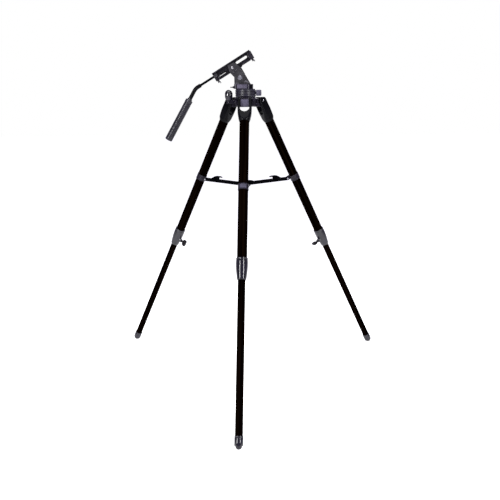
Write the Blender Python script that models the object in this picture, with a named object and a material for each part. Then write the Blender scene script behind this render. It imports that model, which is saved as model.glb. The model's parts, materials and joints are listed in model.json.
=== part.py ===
"""Film-camera tripod: three telescopic legs, a mid-level spreader and a pan-tilt head.

Units are metres, +Z is up.  The origin is on the floor under the middle of the footprint.
One leg points to the front (-Y); the other two point back to the left and to the right.
"""
from math import atan2, cos, hypot, pi, radians, sin, sqrt, tan

import bmesh
import bpy
from mathutils import Matrix, Vector

GAP = 0.0003                      # between two pieces that touch
SLIDE_GAP = 0.0005                # round a piece that slides or turns in another

# Stance
LEG_ANGLE = radians(27.53)        # each leg from the vertical
FOOT_RADIUS = 0.7158              # where a leg's centreline meets the floor, from the pan axis
HINGE_RADIUS = 0.070              # leg hinge pins, from the pan axis
LEG_AZIMUTHS = {"front": radians(-90), "left": radians(150), "right": radians(30)}
HINGE_HEIGHT = (FOOT_RADIUS - HINGE_RADIUS) / tan(LEG_ANGLE)
LEG_LENGTH = (FOOT_RADIUS - HINGE_RADIUS) / sin(LEG_ANGLE)

# Leg tubes and the pieces on them; a station is a distance from the hinge pin down the leg
UPPER_TUBE_D = 0.0405
UPPER_TUBE_WALL = 0.0015
LOWER_TUBE_D = 0.030
GUIDE_LENGTH = 0.040              # head of the lower tube that runs in the upper tube
GUIDE_STATION = 0.600
LUG_WIDTH = 0.0400                # a hinge lug of the crown, between the prongs
PRONG = 0.00885                   # thickness of a prong
FORK_WIDTH = LUG_WIDTH + 2 * (SLIDE_GAP + PRONG)
FORK_THROAT = 0.0375              # station where the gap between the prongs starts to close
FORK_END = 0.098
FORK_EYE_R = 0.0185
FORK_TOP = 0.0150                 # level flat on the prongs, above the hinge pin
FORK_SOCKET = 0.026               # depth of the tube in the fork
FORK_END_WALL = 0.0015
FORK_TOP_SPAN = (0.2, 1.0)        # part of the rounded top that is skinned, in quarter turns
# Station as a share of the fork's length, half depth beyond the tube, share of the half width,
# squareness
FORK_RINGS = ((0.20, -0.00175, 1.0, 9), (0.45, -0.00075, 1.0, 8), (0.62, 0.00025, 0.975, 5.5),
              (0.72, 0.00105, 0.92, 4.5), (0.80, 0.00175, 0.87, 4), (0.88, 0.0020, 0.835, 3.2),
              (0.94, 0.00175, 0.775, 2.4))
FORK_RIM = 0.002                  # height of the round rim at the fork's end
FORK_RIM_EDGE = 0.001
HINGE_BOLT_D = 0.008
HINGE_HEAD_D = HINGE_BOLT_D + 0.004
HINGE_HEAD = 0.003
BRACKET_STATION = 0.385           # middle of the band
BRACKET_HEIGHT = 0.026
BRACKET_D = UPPER_TUBE_D + 0.0043
PIN_HEAD = 0.0012
PIN_HEAD_RIM = 0.0015             # a rivet head beyond its shank
COLLAR_STATION = 0.679            # top of the collar
COLLAR_LENGTH = 0.088
COLLAR_D = UPPER_TUBE_D + 0.0071
COLLAR_END_D = LOWER_TUBE_D + 0.0072
COLLAR_NECK = 0.022               # length round the lower tube alone
COLLAR_RIM = (0.0015, 0.003)      # width and height of the bevel round its top
# Share of its length, radius beyond COLLAR_D / 2
COLLAR_SWELL = ((0.22, 0.0006), (0.47, 0.0), (0.63, -0.0010), (0.76, -0.0026))
COLLAR_NOSE = (0.0015, 0.010)     # last taper, its width and height
LOCK_STATION = COLLAR_STATION + 0.054
LOCK_REACH = COLLAR_D / 2 + 0.0085   # end of the collar's boss, from the leg's centreline
LOCK_LENGTH = 0.025
LOCK_SPAN = 0.034
LOCK_THICKNESS = 0.0135
LOCK_STUD_D = 0.008
LOCK_STUD_DEPTH = 0.0035          # floor of the stud's bore, from the upper tube's bore
LOCK_NECK = 0.6                   # neck radius as a share of the stud's diameter
LOCK_WINGS = ((0.34, 0.85), (0.60, 1.0), (0.92, 0.95), (1.0, 0.80))   # share of length, of span
LOCK_TURNS = {"front": radians(30), "left": 0.0, "right": radians(80)}    # as left by the user
SLEEVE_D = LOWER_TUBE_D + 0.0050
SLEEVE_LENGTH = 0.0368
TIP_R = 0.0125
TIP_FLAT = 0.0030                 # worn flat of the foot's rounded tip, its depth
FOOT_HEIGHT = 0.048               # whole foot, along the leg
FOOT_FLOOR = 0.006                # solid floor of the sleeve, under the tube
FOOT_EDGE = 0.001

# Spreader
# Outer pin in a leg's own plane: across it, station
SPREADER_PIN = (-BRACKET_D / 2 - 0.01015, BRACKET_STATION - 0.006)
SPREADER_PIN_D = 0.005
HUB_PIN_RADIUS = 0.025
HUB_DROP = 0.008                  # hub pins below the outer pins
ARM_OFFSET = 0.0115               # each arm runs beside the pan axis, so that the three pass
ARM_WIDTH = 0.006
ARM_HEIGHT = 0.016
ARM_SIDE_GAP = 0.0010
EAR_THICKNESS = 0.003
HUB_PLATE = 0.004
HUB_RISE = 0.0012                 # hub plate above the arms
HUB_NOTCH_GAP = 0.0004            # the plate's notches are this much wider than the ears' gap
HUB_NOTCH_DEPTH = 0.0035          # notch beyond the arm's eye, towards the pan axis
HUB_EAR_ROOT = 0.8                # share of the plate's thickness that the ears reach into
HOOK_FROM = 0.030                 # hook root, from the outer pin along the arm
HOOK_LENGTH = 0.062
HOOK_RISE = 0.014
# Outline of the hook: shares of its length and of its rise
HOOK_SHAPE = ((0.0, 0.0), (0.16, 0.30), (0.36, 0.78), (0.56, 1.0), (0.82, 1.0), (1.0, 0.85),
              (1.0, 0.55), (0.82, 0.60), (0.74, 0.40), (0.73, 0.0))

# Crown
CROWN_R = HINGE_RADIUS - FORK_EYE_R - 0.0045
CROWN_BOTTOM = -0.0242            # below the hinge pins
CROWN_HEIGHT = 0.0345
CROWN_EDGE = 0.002
LUG_REACH = HINGE_RADIUS + 0.010
LUG_DROP = 0.0025                 # lugs below the crown's underside
LUG_FALL = 0.002                  # and below its top
LUG_ROOT = 0.65                   # share of CROWN_R where the lugs start
CENTRE_BOLT_D = 0.0095
CENTRE_HEAD_D = CENTRE_BOLT_D + 0.0085
CENTRE_HEAD = 0.007
POCKET_R = CENTRE_HEAD_D / 2 + 0.005
POCKET_DEPTH = 0.016
EAR_AZIMUTH = radians(191)
EAR_REACH = CROWN_R + 0.026
EAR_R = 0.009
EAR_HEIGHT = 0.015
EAR_RISE = 0.011                  # underside of the ear above the crown's underside
EAR_FLOOR = 0.003                 # under the clamp stud
DOME_R = 0.0165
DOME_HEIGHT = 0.043
DOME_STUD_D = 0.008
DOME_SKIRT = ((0.0035, 0.0), (0.0022, 0.008), (0.0, 0.013))    # inside DOME_R, above the ear
DOME_STEPS = 6

# Head, from the bottom up
HEAD_PLATE = 0.0045
PAN_BASE_R = 0.044
HEAD_PLATE_R = PAN_BASE_R - 0.001
PAN_BASE_HEIGHT = 0.0330
PAN_KNOB_D = 0.0255
PAN_KNOB_LENGTH = 0.0260
PAN_BASE_FOOT = 0.004             # bevel round the bottom of the pan base
PAN_BASE_RIM = (0.002, 0.005)     # bevel round its top, width and height
CENTRE_BOLT_DEPTH = 0.012         # centre bolt in the pan base
SPIGOT_R = 0.010                  # turntable's bearing pin in the pan base
SPIGOT = 0.011
SPIGOT_ROOT = 0.004               # spigot inside the turntable
PAN_KNOB_STEM_D = 0.010
PAN_KNOB_STEM = 0.0008
PAN_KNOB_DEPTH = 0.010            # stem in the pan base
PAN_KNOB_CAP = 0.003              # shorter than PAN_KNOB_LENGTH
PAN_KNOB_EDGE = (0.002, 0.0015)
TURNTABLE = (-0.048, 0.0197)      # left and right ends
TURNTABLE_DEPTH = 0.056
TURNTABLE_HEIGHT = 0.0195
TURNTABLE_SQUARENESS = 9
BLOCK_LENGTH = 0.012
BLOCK_WIDTH = 0.72                # share of the turntable's depth
TILT_X = -0.0221                  # tilt axis, left of the pan axis
TILT_RISE = 0.0262                # tilt axis above the turntable
TILT_BOLT_D = 0.010
UPRIGHT_R = 0.0215
UPRIGHT_LEFT = 0.0249
UPRIGHT_DEPTH = 0.030
UPRIGHT_EDGE = (0.0255, 0.0040)   # top of its straight right edge, in the platform's own plane
UPRIGHT_TOE = 0.002               # bevel at the end of its right foot
LATCH_LENGTH = 0.0175
LATCH_R = 0.006
LATCH_LEVEL = 0.36                # share of the turntable's height
LATCH_HUB = 0.45                  # share of the latch's length
LATCH_RIM = 0.002
LATCH_BLADE = (0.0036, 0.008)     # thickness and width
CAMERA_TILT = radians(30.8)       # platform from level

# Platform and arms, in the platform's own plane with the tilt axis at its origin
PLATE_LEFT = -0.0942
PLATE_RIGHT = 0.0911
PLATE_TOP = 0.0767
PLATE_THICKNESS = 0.0050
PLATE_WIDTH = UPRIGHT_DEPTH + 0.020
WEB_BOTTOM = PLATE_TOP - 0.0372
WEB_THICKNESS = 0.003
SLOT_HEIGHT = 0.0125
SLOT_LEVEL = PLATE_TOP - 0.0162
FRONT_SLOT = (0.0140, PLATE_RIGHT - 0.0211)
REAR_SLITS = (PLATE_TOP - 0.0206, PLATE_TOP - 0.0257)    # levels of the two slits below the rod
REAR_SLIT = (PLATE_LEFT + 0.0202, -0.0360)
REAR_SLIT_HEIGHT = 0.0028
# Window in the rear web, behind the two slits of the front one
REAR_WINDOW = (PLATE_LEFT + 0.0182, -0.0390)
REAR_WINDOW_LEVEL = PLATE_TOP - 0.0285
REAR_WINDOW_HEIGHT = 0.0105
WEB_STEP = 0.003                  # middle of the webs reaches this much lower
WEB_STEP_END = 0.032
END_BLOCK = 0.016
BLOCK_OVERHANG = 0.003            # front block beyond the top plate
CHEEK_THICKNESS = 0.005
CHEEK_R = 0.0220
CHEEK_SHOULDER = -0.0264
CHEEK_NECK = (-0.0200, 0.0144)
CHEEK_HEAD = (-0.0192, 0.0094)    # left and right ends of its top
CHEEK_HEAD_FALL = 0.003           # right end of the top below the left one
REAR_CHEEK_EXTRA = 0.0035         # rear cheek wider than the front one, on its right side
TILT_HEAD = ((0.006, -0.0055), (0.0065, -0.005), (0.0065, -0.0015), (0.010, -0.0015), (0.010, 0.0))
TILT_END = 0.006                  # tilt bolt beyond the rear cheek
TILT_NUT_R = 0.009
TILT_NUT = 0.005
SCREWS = ((-0.0061, 0.0513, 0.0042), (0.0028, 0.0349, 0.0030), (-0.0112, 0.0333, 0.0030))
SCREW_HEAD = 0.0022
BOSS_R = 0.0085
BOSS_X = PLATE_LEFT + 0.0102
BOSS = (0.003, 0.005)             # height of its rim and of its face
BOSS_EDGE = 0.002
CLAMP_DROP = 0.0150               # a clamp lever below its block
CLAMP_STEM_R = 0.0045
CLAMP_STEM = 0.0095
CLAMP_HALF_WIDTH = 0.0025
# Lever outline: along the platform, below the block; the toe ends at CLAMP_DROP
CLAMP_TOP = ((-0.0050, -0.0065), (0.0050, -0.0065), (0.0070, -0.0095))
CLAMP_TOE = (0.0045, 0.0020)
CLAMP_BACK = ((0.0035, -0.0100), (-0.0050, -0.0090))
CAMERA_SCREW_D = 0.00635
CAMERA_SCREW_X = -0.0040
CAMERA_DIAL_R = 0.011
CAMERA_DIAL = 0.006
CAMERA_SCREW_SUNK = 0.0005        # end of the screw under the platform's top

# Handle
ROD_D = 0.010
ROD_LEVEL = PLATE_TOP - 0.0142
ROD_INNER = -0.0290
SLEEVE_START = PLATE_LEFT - 0.0666
HANDLE_SLEEVE_D = 0.0165
BEND_X = SLEEVE_START - 0.0272
BEND_ANGLE = radians(29.1)
BEND_RADIUS = 0.045
BEND_TO_GRIP = 0.0484
GRIP_LENGTH = 0.203
GRIP_D = 0.0325
FERRULE_LENGTH = 0.006
FERRULE_R = 0.0105
GRIP_FLARE = ((0.0015, 0.001), (0.0005, 0.004))    # inside GRIP_D / 2, beyond the ferrule
GRIP_TAPER = 0.0005
GRIP_CAP = (0.020, 0.002)         # plain cap at the end, and its bevel

ROUND = 24                        # sides of a large round piece
PAN_ROUND = 40                    # sides of the pan base
SMALL = 16                        # sides of a small one
SHARP = radians(35)               # an edge that shows
FAR = 0.05                        # reach of a cut that goes right through

# Name: (colour, metallic, roughness)
FINISHES = {
    "anodised_black": ((0.020, 0.019, 0.022), 0.85, 0.38),
    "black_plastic": ((0.016, 0.015, 0.018), 0.0, 0.32),
    "painted_grey": ((0.085, 0.082, 0.098), 0.0, 0.45),
    "dark_casting": ((0.040, 0.039, 0.045), 0.2, 0.48),
    "rubber": ((0.022, 0.019, 0.026), 0.0, 0.72),
    "bright_steel": ((0.55, 0.55, 0.57), 1.0, 0.25),
}


def clear_scene():
    """Remove every object that the file opened with."""
    for item in list(bpy.data.objects):
        bpy.data.objects.remove(item, do_unlink=True)


def finish(name):
    """The material of one finish, made once."""
    material = bpy.data.materials.get(name)
    if material is None:
        colour, metallic, roughness = FINISHES[name]
        material = bpy.data.materials.new(name)
        material.use_nodes = True
        shader = material.node_tree.nodes["Principled BSDF"]
        shader.inputs["Base Color"].default_value = (*colour, 1.0)
        shader.inputs["Metallic"].default_value = metallic
        shader.inputs["Roughness"].default_value = roughness
    return material


def empty(name, parent=None, location=(0, 0, 0), rotation=(0, 0, 0)):
    """A frame to hang pieces on."""
    frame = bpy.data.objects.new(name, None)
    bpy.context.collection.objects.link(frame)
    frame.parent = parent
    frame.location = location
    frame.rotation_euler = rotation
    return frame


def piece(name, bm, parent, finish_name, location=(0, 0, 0), rotation=(0, 0, 0)):
    """An object from a bmesh, with its material, hung on a frame."""
    bmesh.ops.recalc_face_normals(bm, faces=bm.faces)
    mesh = bpy.data.meshes.new(name)
    bm.to_mesh(mesh)
    bm.free()
    mesh.materials.append(finish(finish_name))
    mesh.shade_smooth()
    mesh.set_sharp_from_angle(angle=SHARP)
    item = bpy.data.objects.new(name, mesh)
    bpy.context.collection.objects.link(item)
    item.parent = parent
    item.location = location
    item.rotation_euler = rotation
    return item


def combine(item, bm, operation, location=(0, 0, 0), rotation=(0, 0, 0)):
    """Cut or join a solid, given in the same parent frame as the item."""
    tool = piece("tool", bm, item.parent, "black_plastic", location, rotation)
    tool.hide_render = True
    tool.display_type = "WIRE"
    modifier = item.modifiers.new(operation.lower(), "BOOLEAN")
    modifier.operation = operation
    modifier.solver = "EXACT"
    modifier.object = tool
    bpy.context.view_layer.update()
    evaluated = item.evaluated_get(bpy.context.evaluated_depsgraph_get())
    mesh = bpy.data.meshes.new_from_object(evaluated)
    item.modifiers.remove(modifier)
    material = item.data.materials[0]
    item.data = mesh
    mesh.materials.clear()
    mesh.materials.append(material)
    mesh.shade_smooth()
    mesh.set_sharp_from_angle(angle=SHARP)
    bpy.data.objects.remove(tool, do_unlink=True)


def cut(item, bm, location=(0, 0, 0), rotation=(0, 0, 0)):
    """Cut a solid away from the item."""
    combine(item, bm, "DIFFERENCE", location, rotation)


def join(item, bm, location=(0, 0, 0), rotation=(0, 0, 0)):
    """Join a solid to the item."""
    combine(item, bm, "UNION", location, rotation)


def loft(rings):
    """Solid through rings of equal numbers of points, closed by its two end rings."""
    bm = bmesh.new()
    loops = [[bm.verts.new(point) for point in ring] for ring in rings]
    for low, high in zip(loops, loops[1:]):
        for index in range(len(low)):
            after = (index + 1) % len(low)
            bm.faces.new((low[index], low[after], high[after], high[index]))
    bm.faces.new(loops[0][::-1])
    bm.faces.new(loops[-1])
    return bm


def prism(outline, near, far):
    """Outline of (x, z) points, from y = near to y = far."""
    return loft([[(x, y, z) for x, z in outline] for y in (near, far)])


def box(low, high):
    """Box between two corners."""
    outline = ((low[0], low[2]), (high[0], low[2]), (high[0], high[2]), (low[0], high[2]))
    return prism(outline, low[1], high[1])


def turn(profile, steps=ROUND):
    """Body of revolution about Z from (radius, z) points; off the axis they close into a ring."""
    bm = bmesh.new()
    verts = [bm.verts.new((radius, 0.0, z)) for radius, z in profile]
    edges = [bm.edges.new(pair) for pair in zip(verts, verts[1:])]
    if profile[0][0] > 0.0:
        edges.append(bm.edges.new((verts[-1], verts[0])))
    bmesh.ops.spin(bm, geom=verts + edges, cent=(0, 0, 0), axis=(0, 0, 1), angle=2 * pi,
                   steps=steps, use_merge=True)
    bmesh.ops.remove_doubles(bm, verts=bm.verts, dist=1e-6)
    return bm


def rod(radius, low, high, steps=SMALL):
    """Plain round bar along Z."""
    return turn([(0.0, low), (radius, low), (radius, high), (0.0, high)], steps)


def arc(centre, radius, start, stop, count):
    """Points of a circular arc in a plane, ends included."""
    angles = [start + (stop - start) * index / count for index in range(count + 1)]
    return [(centre[0] + radius * cos(a), centre[1] + radius * sin(a)) for a in angles]


def oval(half_x, half_y, z, squareness, count=ROUND):
    """Ring about Z between an ellipse (2) and a rounded box (6 or more)."""
    ring = []
    for index in range(count):
        angle = 2 * pi * (index + 0.5) / count
        c, s = cos(angle), sin(angle)
        stretch = (abs(c) ** squareness + abs(s) ** squareness) ** (-1.0 / squareness)
        ring.append((half_x * c * stretch, half_y * s * stretch, z))
    return ring


def lobed(radius, depth, lobes, z, power=1.0, count=ROUND):
    """Ring about Z whose radius swells by depth at each lobe."""
    ring = []
    for index in range(count):
        angle = 2 * pi * index / count
        swell = (0.5 + 0.5 * cos(lobes * angle)) ** power
        reach = radius + depth * swell
        ring.append((reach * cos(angle), reach * sin(angle), z))
    return ring


def headed_bar(shaft_d, length, head_d, head, sides=12):
    """Bar along Z from 0 up to length, with a head beyond each end."""
    return turn([(0.0, -head), (head_d / 2, -head), (head_d / 2, 0.0), (shaft_d / 2, 0.0),
                 (shaft_d / 2, length), (head_d / 2, length), (head_d / 2, length + head),
                 (0.0, length + head)], sides)


def foot_reach(azimuth):
    """How far a foot's sleeve reaches along a level direction, at an angle from its leg."""
    lean = sin(LEG_ANGLE)
    ring = FOOT_RADIUS - (FOOT_HEIGHT - SLEEVE_LENGTH) * lean
    return ring * cos(azimuth) + SLEEVE_D / 2 * sqrt(1.0 - (lean * cos(azimuth)) ** 2)


# The pan axis stands behind the middle of the footprint
AXIS_Y = (foot_reach(0.0) - foot_reach(radians(60))) / 2

TO_Y = (-pi / 2, 0, 0)            # turns a piece made along Z to lie along +Y
TO_X = (0, pi / 2, 0)
TO_MINUS_X = (0, -pi / 2, 0)


def make_fork(name, hinge):
    """Forked top of a leg, with the socket for its upper tube."""
    half = FORK_WIDTH / 2
    tube = UPPER_TUBE_D / 2
    end = tube + FORK_END_WALL
    rings = []
    start, stop = FORK_TOP_SPAN
    for step in range(4):
        angle = pi / 2 * (start + (stop - start) * step / 3)
        rings.append(oval(FORK_EYE_R * sin(angle), half, FORK_EYE_R * cos(angle), 9))
    for share, beyond, width_share, squareness in FORK_RINGS:
        rings.append(oval(tube + beyond, half * width_share, -FORK_END * share, squareness))
    rings.append(oval(end, end, -FORK_END + FORK_RIM, 2))
    rings.append(oval(end - FORK_RIM_EDGE, end - FORK_RIM_EDGE, -FORK_END, 2))
    fork = piece(name, loft(rings), hinge, "black_plastic")
    gap = LUG_WIDTH / 2 + SLIDE_GAP
    throat = [(gap, 2 * FORK_EYE_R)] + arc((0, -FORK_THROAT), gap, 0, -pi, 14)
    throat.append((-gap, 2 * FORK_EYE_R))
    cut(fork, prism(throat, -FORK_WIDTH, FORK_WIDTH), rotation=(0, 0, pi / 2))
    cut(fork, box((-FAR, -FAR, FORK_TOP), (FAR, FAR, FAR)), rotation=(0, LEG_ANGLE, 0))
    cut(fork, rod(tube + GAP, -2 * FORK_END, -(FORK_END - FORK_SOCKET), ROUND))
    cut(fork, rod(HINGE_BOLT_D / 2 + GAP, -FORK_WIDTH, FORK_WIDTH), rotation=TO_Y)


def make_tubes(name, hinge, slide):
    """Upper tube, and the lower tube with the guide at its head."""
    outer = UPPER_TUBE_D / 2
    bore = outer - UPPER_TUBE_WALL
    top = -(FORK_END - FORK_SOCKET + GAP)
    bottom = -(COLLAR_STATION + COLLAR_LENGTH - COLLAR_NECK)
    piece("upper_tube_" + name, turn([(outer, top), (outer, bottom), (bore, bottom), (bore, top)]),
          hinge, "anodised_black")
    inner = LOWER_TUBE_D / 2
    guide = bore - SLIDE_GAP
    low = -(LEG_LENGTH - FOOT_HEIGHT + SLEEVE_LENGTH - FOOT_FLOOR - GAP)
    profile = [(guide, -GUIDE_STATION), (guide, -GUIDE_STATION - GUIDE_LENGTH),
               (inner, -GUIDE_STATION - GUIDE_LENGTH), (inner, low),
               (inner - UPPER_TUBE_WALL, low), (inner - UPPER_TUBE_WALL, -GUIDE_STATION)]
    piece("lower_tube_" + name, turn(profile), slide, "anodised_black")


def make_bracket(name, hinge, arm):
    """Band with two ears on the upper tube, its rivet, and the spreader arm that hangs on it."""
    across, station = SPREADER_PIN
    low, high = -BRACKET_STATION - BRACKET_HEIGHT / 2, -BRACKET_STATION + BRACKET_HEIGHT / 2
    bore = UPPER_TUBE_D / 2 + GAP
    bracket = piece("spreader_bracket_" + name, rod(BRACKET_D / 2, low, high, ROUND), hinge,
                    "painted_grey")
    eye = ARM_HEIGHT / 2 - 0.0005
    outline = [(0.0, -station + eye)] + arc((across, -station), eye, pi / 2, 3 * pi / 2, 8)
    outline.append((0.0, -station - eye))
    inside = ARM_WIDTH / 2 + ARM_SIDE_GAP
    for side in (-1, 1):
        near, far = sorted((ARM_OFFSET + side * inside, ARM_OFFSET + side * (inside + EAR_THICKNESS)))
        join(bracket, prism(outline, near, far))
    cut(bracket, rod(bore, low - FAR, high + FAR, ROUND))
    reach = inside + EAR_THICKNESS + GAP
    at = (across, ARM_OFFSET - reach, -station)
    cut(bracket, rod(SPREADER_PIN_D / 2 + GAP, -reach, 3 * reach, 12), at, TO_Y)
    pin = headed_bar(SPREADER_PIN_D, 2 * reach, SPREADER_PIN_D + 2 * PIN_HEAD_RIM, PIN_HEAD)
    piece("spreader_pin_" + name, pin, hinge, "bright_steel", at, TO_Y)
    half = ARM_HEIGHT / 2
    length = arm_length()
    body = arc((0, 0), half, -pi / 2, pi / 2, 8)
    body += [(-HOOK_FROM - along * HOOK_LENGTH, half + rise * HOOK_RISE)
             for along, rise in HOOK_SHAPE]
    body += arc((-length, 0), half, pi / 2, 3 * pi / 2, 8)
    solid = prism(body, ARM_OFFSET - ARM_WIDTH / 2, ARM_OFFSET + ARM_WIDTH / 2)
    blade = piece("spreader_arm_" + name, solid, arm, "black_plastic")
    for x in (0.0, -length):
        cut(blade, rod(SPREADER_PIN_D / 2 + GAP, -FAR, FAR, 12), (x, 0, 0), TO_Y)


def outer_pin():
    """Radius and height of the spreader's outer pins."""
    across, station = SPREADER_PIN
    radius = HINGE_RADIUS + across * cos(LEG_ANGLE) + station * sin(LEG_ANGLE)
    return radius, HINGE_HEIGHT + across * sin(LEG_ANGLE) - station * cos(LEG_ANGLE)


def arm_length():
    """Between the two pins of a spreader arm."""
    return hypot(outer_pin()[0] - HUB_PIN_RADIUS, HUB_DROP)


def make_collar(name, hinge, lock):
    """Clamping collar with the boss for its lock, and the winged lock knob."""
    top = -COLLAR_STATION
    bottom = top - COLLAR_LENGTH
    wide, end = COLLAR_D / 2, COLLAR_END_D / 2
    bore, neck_bore = UPPER_TUBE_D / 2 + GAP, LOWER_TUBE_D / 2 + SLIDE_GAP
    step = bottom + COLLAR_NECK - GAP
    profile = [(wide - COLLAR_RIM[0], top), (wide, top - COLLAR_RIM[1])]
    profile += [(wide + swell, top - COLLAR_LENGTH * share) for share, swell in COLLAR_SWELL]
    profile += [(end + COLLAR_NOSE[0], bottom + COLLAR_NOSE[1]), (end, bottom), (neck_bore, bottom),
                (neck_bore, step), (bore, step), (bore, top)]
    collar = piece("collar_" + name, turn(profile), hinge, "black_plastic")
    at = (0, 0, -LOCK_STATION)
    floor = bore + LOCK_STUD_DEPTH
    join(collar, rod(LOCK_STUD_D, bore + SLIDE_GAP, LOCK_REACH), at, TO_MINUS_X)
    cut(collar, rod(LOCK_STUD_D / 2 + GAP, floor, 2 * LOCK_REACH), at, TO_MINUS_X)
    start = LOCK_REACH + GAP
    neck, thick, wing = LOCK_STUD_D * LOCK_NECK, LOCK_THICKNESS / 2, LOCK_SPAN / 2
    rings = [lobed(neck, 0.0, 2, 0.0), lobed(neck, 0.0, 2, LOCK_LENGTH * 0.22)]
    for share, reach in LOCK_WINGS:
        rings.append(lobed(thick * min(1.0, reach + 0.1), wing * reach - thick, 2,
                           LOCK_LENGTH * share, 2.0))
    knob = piece("lock_knob_" + name, loft(rings), lock, "black_plastic", (-start, 0, 0),
                 TO_MINUS_X)
    stud = rod(LOCK_STUD_D / 2, floor + GAP - start, LOCK_LENGTH * 0.16)
    join(knob, stud, (-start, 0, 0), TO_MINUS_X)


def make_foot(name, slide):
    """Sleeve on the lower tube with a round tip, worn flat where it stands."""
    tube = LOWER_TUBE_D / 2 + GAP
    floor = -LEG_LENGTH
    top = floor + FOOT_HEIGHT
    shelf = top - SLEEVE_LENGTH
    bore_end = shelf + FOOT_FLOOR
    sleeve = SLEEVE_D / 2
    centre = floor + (TIP_R - TIP_FLAT) / cos(LEG_ANGLE)
    profile = [(0.0, bore_end), (tube, bore_end), (tube, top), (sleeve - FOOT_EDGE, top),
               (sleeve, top - FOOT_EDGE), (sleeve, shelf + FOOT_EDGE), (sleeve - FOOT_EDGE, shelf),
               (TIP_R, shelf)]
    profile += arc((0.0, centre), TIP_R, 0.0, -pi / 2, 6)
    bm = turn(profile)
    down = Vector((-sin(LEG_ANGLE), 0, -cos(LEG_ANGLE)))
    everything = bm.verts[:] + bm.edges[:] + bm.faces[:]
    sliced = bmesh.ops.bisect_plane(bm, geom=everything, plane_co=(0, 0, floor), plane_no=down,
                                    clear_outer=True)
    rim = [item for item in sliced["geom_cut"] if isinstance(item, bmesh.types.BMEdge)]
    bmesh.ops.edgeloop_fill(bm, edges=rim)
    piece("foot_" + name, bm, slide, "rubber")


def make_legs(root):
    """The three legs with their frames, and their hinge bolts."""
    radius, height = outer_pin()
    for name, azimuth in LEG_AZIMUTHS.items():
        plane = empty("plane_" + name, root, rotation=(0, 0, azimuth))
        hinge = empty("hinge_" + name, plane, (HINGE_RADIUS, 0, HINGE_HEIGHT), (0, -LEG_ANGLE, 0))
        slide = empty("slide_" + name, hinge)
        lock = empty("lock_" + name, hinge, (0, 0, -LOCK_STATION))
        lock.rotation_euler = (LOCK_TURNS[name], 0, 0)
        arm = empty("arm_" + name, plane, (radius, 0, height),
                    (0, -atan2(HUB_DROP, radius - HUB_PIN_RADIUS), 0))
        make_fork("fork_" + name, hinge)
        make_tubes(name, hinge, slide)
        make_bracket(name, hinge, arm)
        make_collar(name, hinge, lock)
        make_foot(name, slide)
        length = FORK_WIDTH + 2 * GAP
        bolt = headed_bar(HINGE_BOLT_D, length, HINGE_HEAD_D, HINGE_HEAD)
        piece("hinge_bolt_" + name, bolt, plane, "bright_steel",
              (HINGE_RADIUS, -length / 2, HINGE_HEIGHT), TO_Y)


def make_spreader_hub(root):
    """Notched plate with two ears turned down beside each arm."""
    height = outer_pin()[1] - HUB_DROP
    hub = empty("hub_slide", root, (0, 0, height))
    under = ARM_HEIGHT / 2 + HUB_RISE
    plate_r = HUB_PIN_RADIUS + 0.005
    plate = piece("spreader_hub", rod(plate_r, under, under + HUB_PLATE, ROUND), hub, "black_plastic")
    inside = ARM_WIDTH / 2 + ARM_SIDE_GAP
    eye = ARM_HEIGHT / 2 - 0.0005
    for azimuth in LEG_AZIMUTHS.values():
        turned = (0, 0, azimuth)
        notch = inside + HUB_NOTCH_GAP
        start = HUB_PIN_RADIUS - ARM_HEIGHT / 2 - HUB_NOTCH_DEPTH
        cut(plate, box((start, ARM_OFFSET - notch, under - HUB_PLATE),
                       (2 * plate_r, ARM_OFFSET + notch, under + 2 * HUB_PLATE)), rotation=turned)
    for azimuth in LEG_AZIMUTHS.values():
        turned = (0, 0, azimuth)
        ear_top = under + HUB_PLATE * HUB_EAR_ROOT
        outline = [(HUB_PIN_RADIUS + eye, ear_top), (HUB_PIN_RADIUS - eye, ear_top)]
        outline += arc((HUB_PIN_RADIUS, 0), eye, pi, 2 * pi, 8)
        for side in (-1, 1):
            edges = (ARM_OFFSET + side * inside, ARM_OFFSET + side * (inside + EAR_THICKNESS))
            near, far = sorted(edges)
            join(plate, prism(outline, near, far), rotation=turned)


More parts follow.
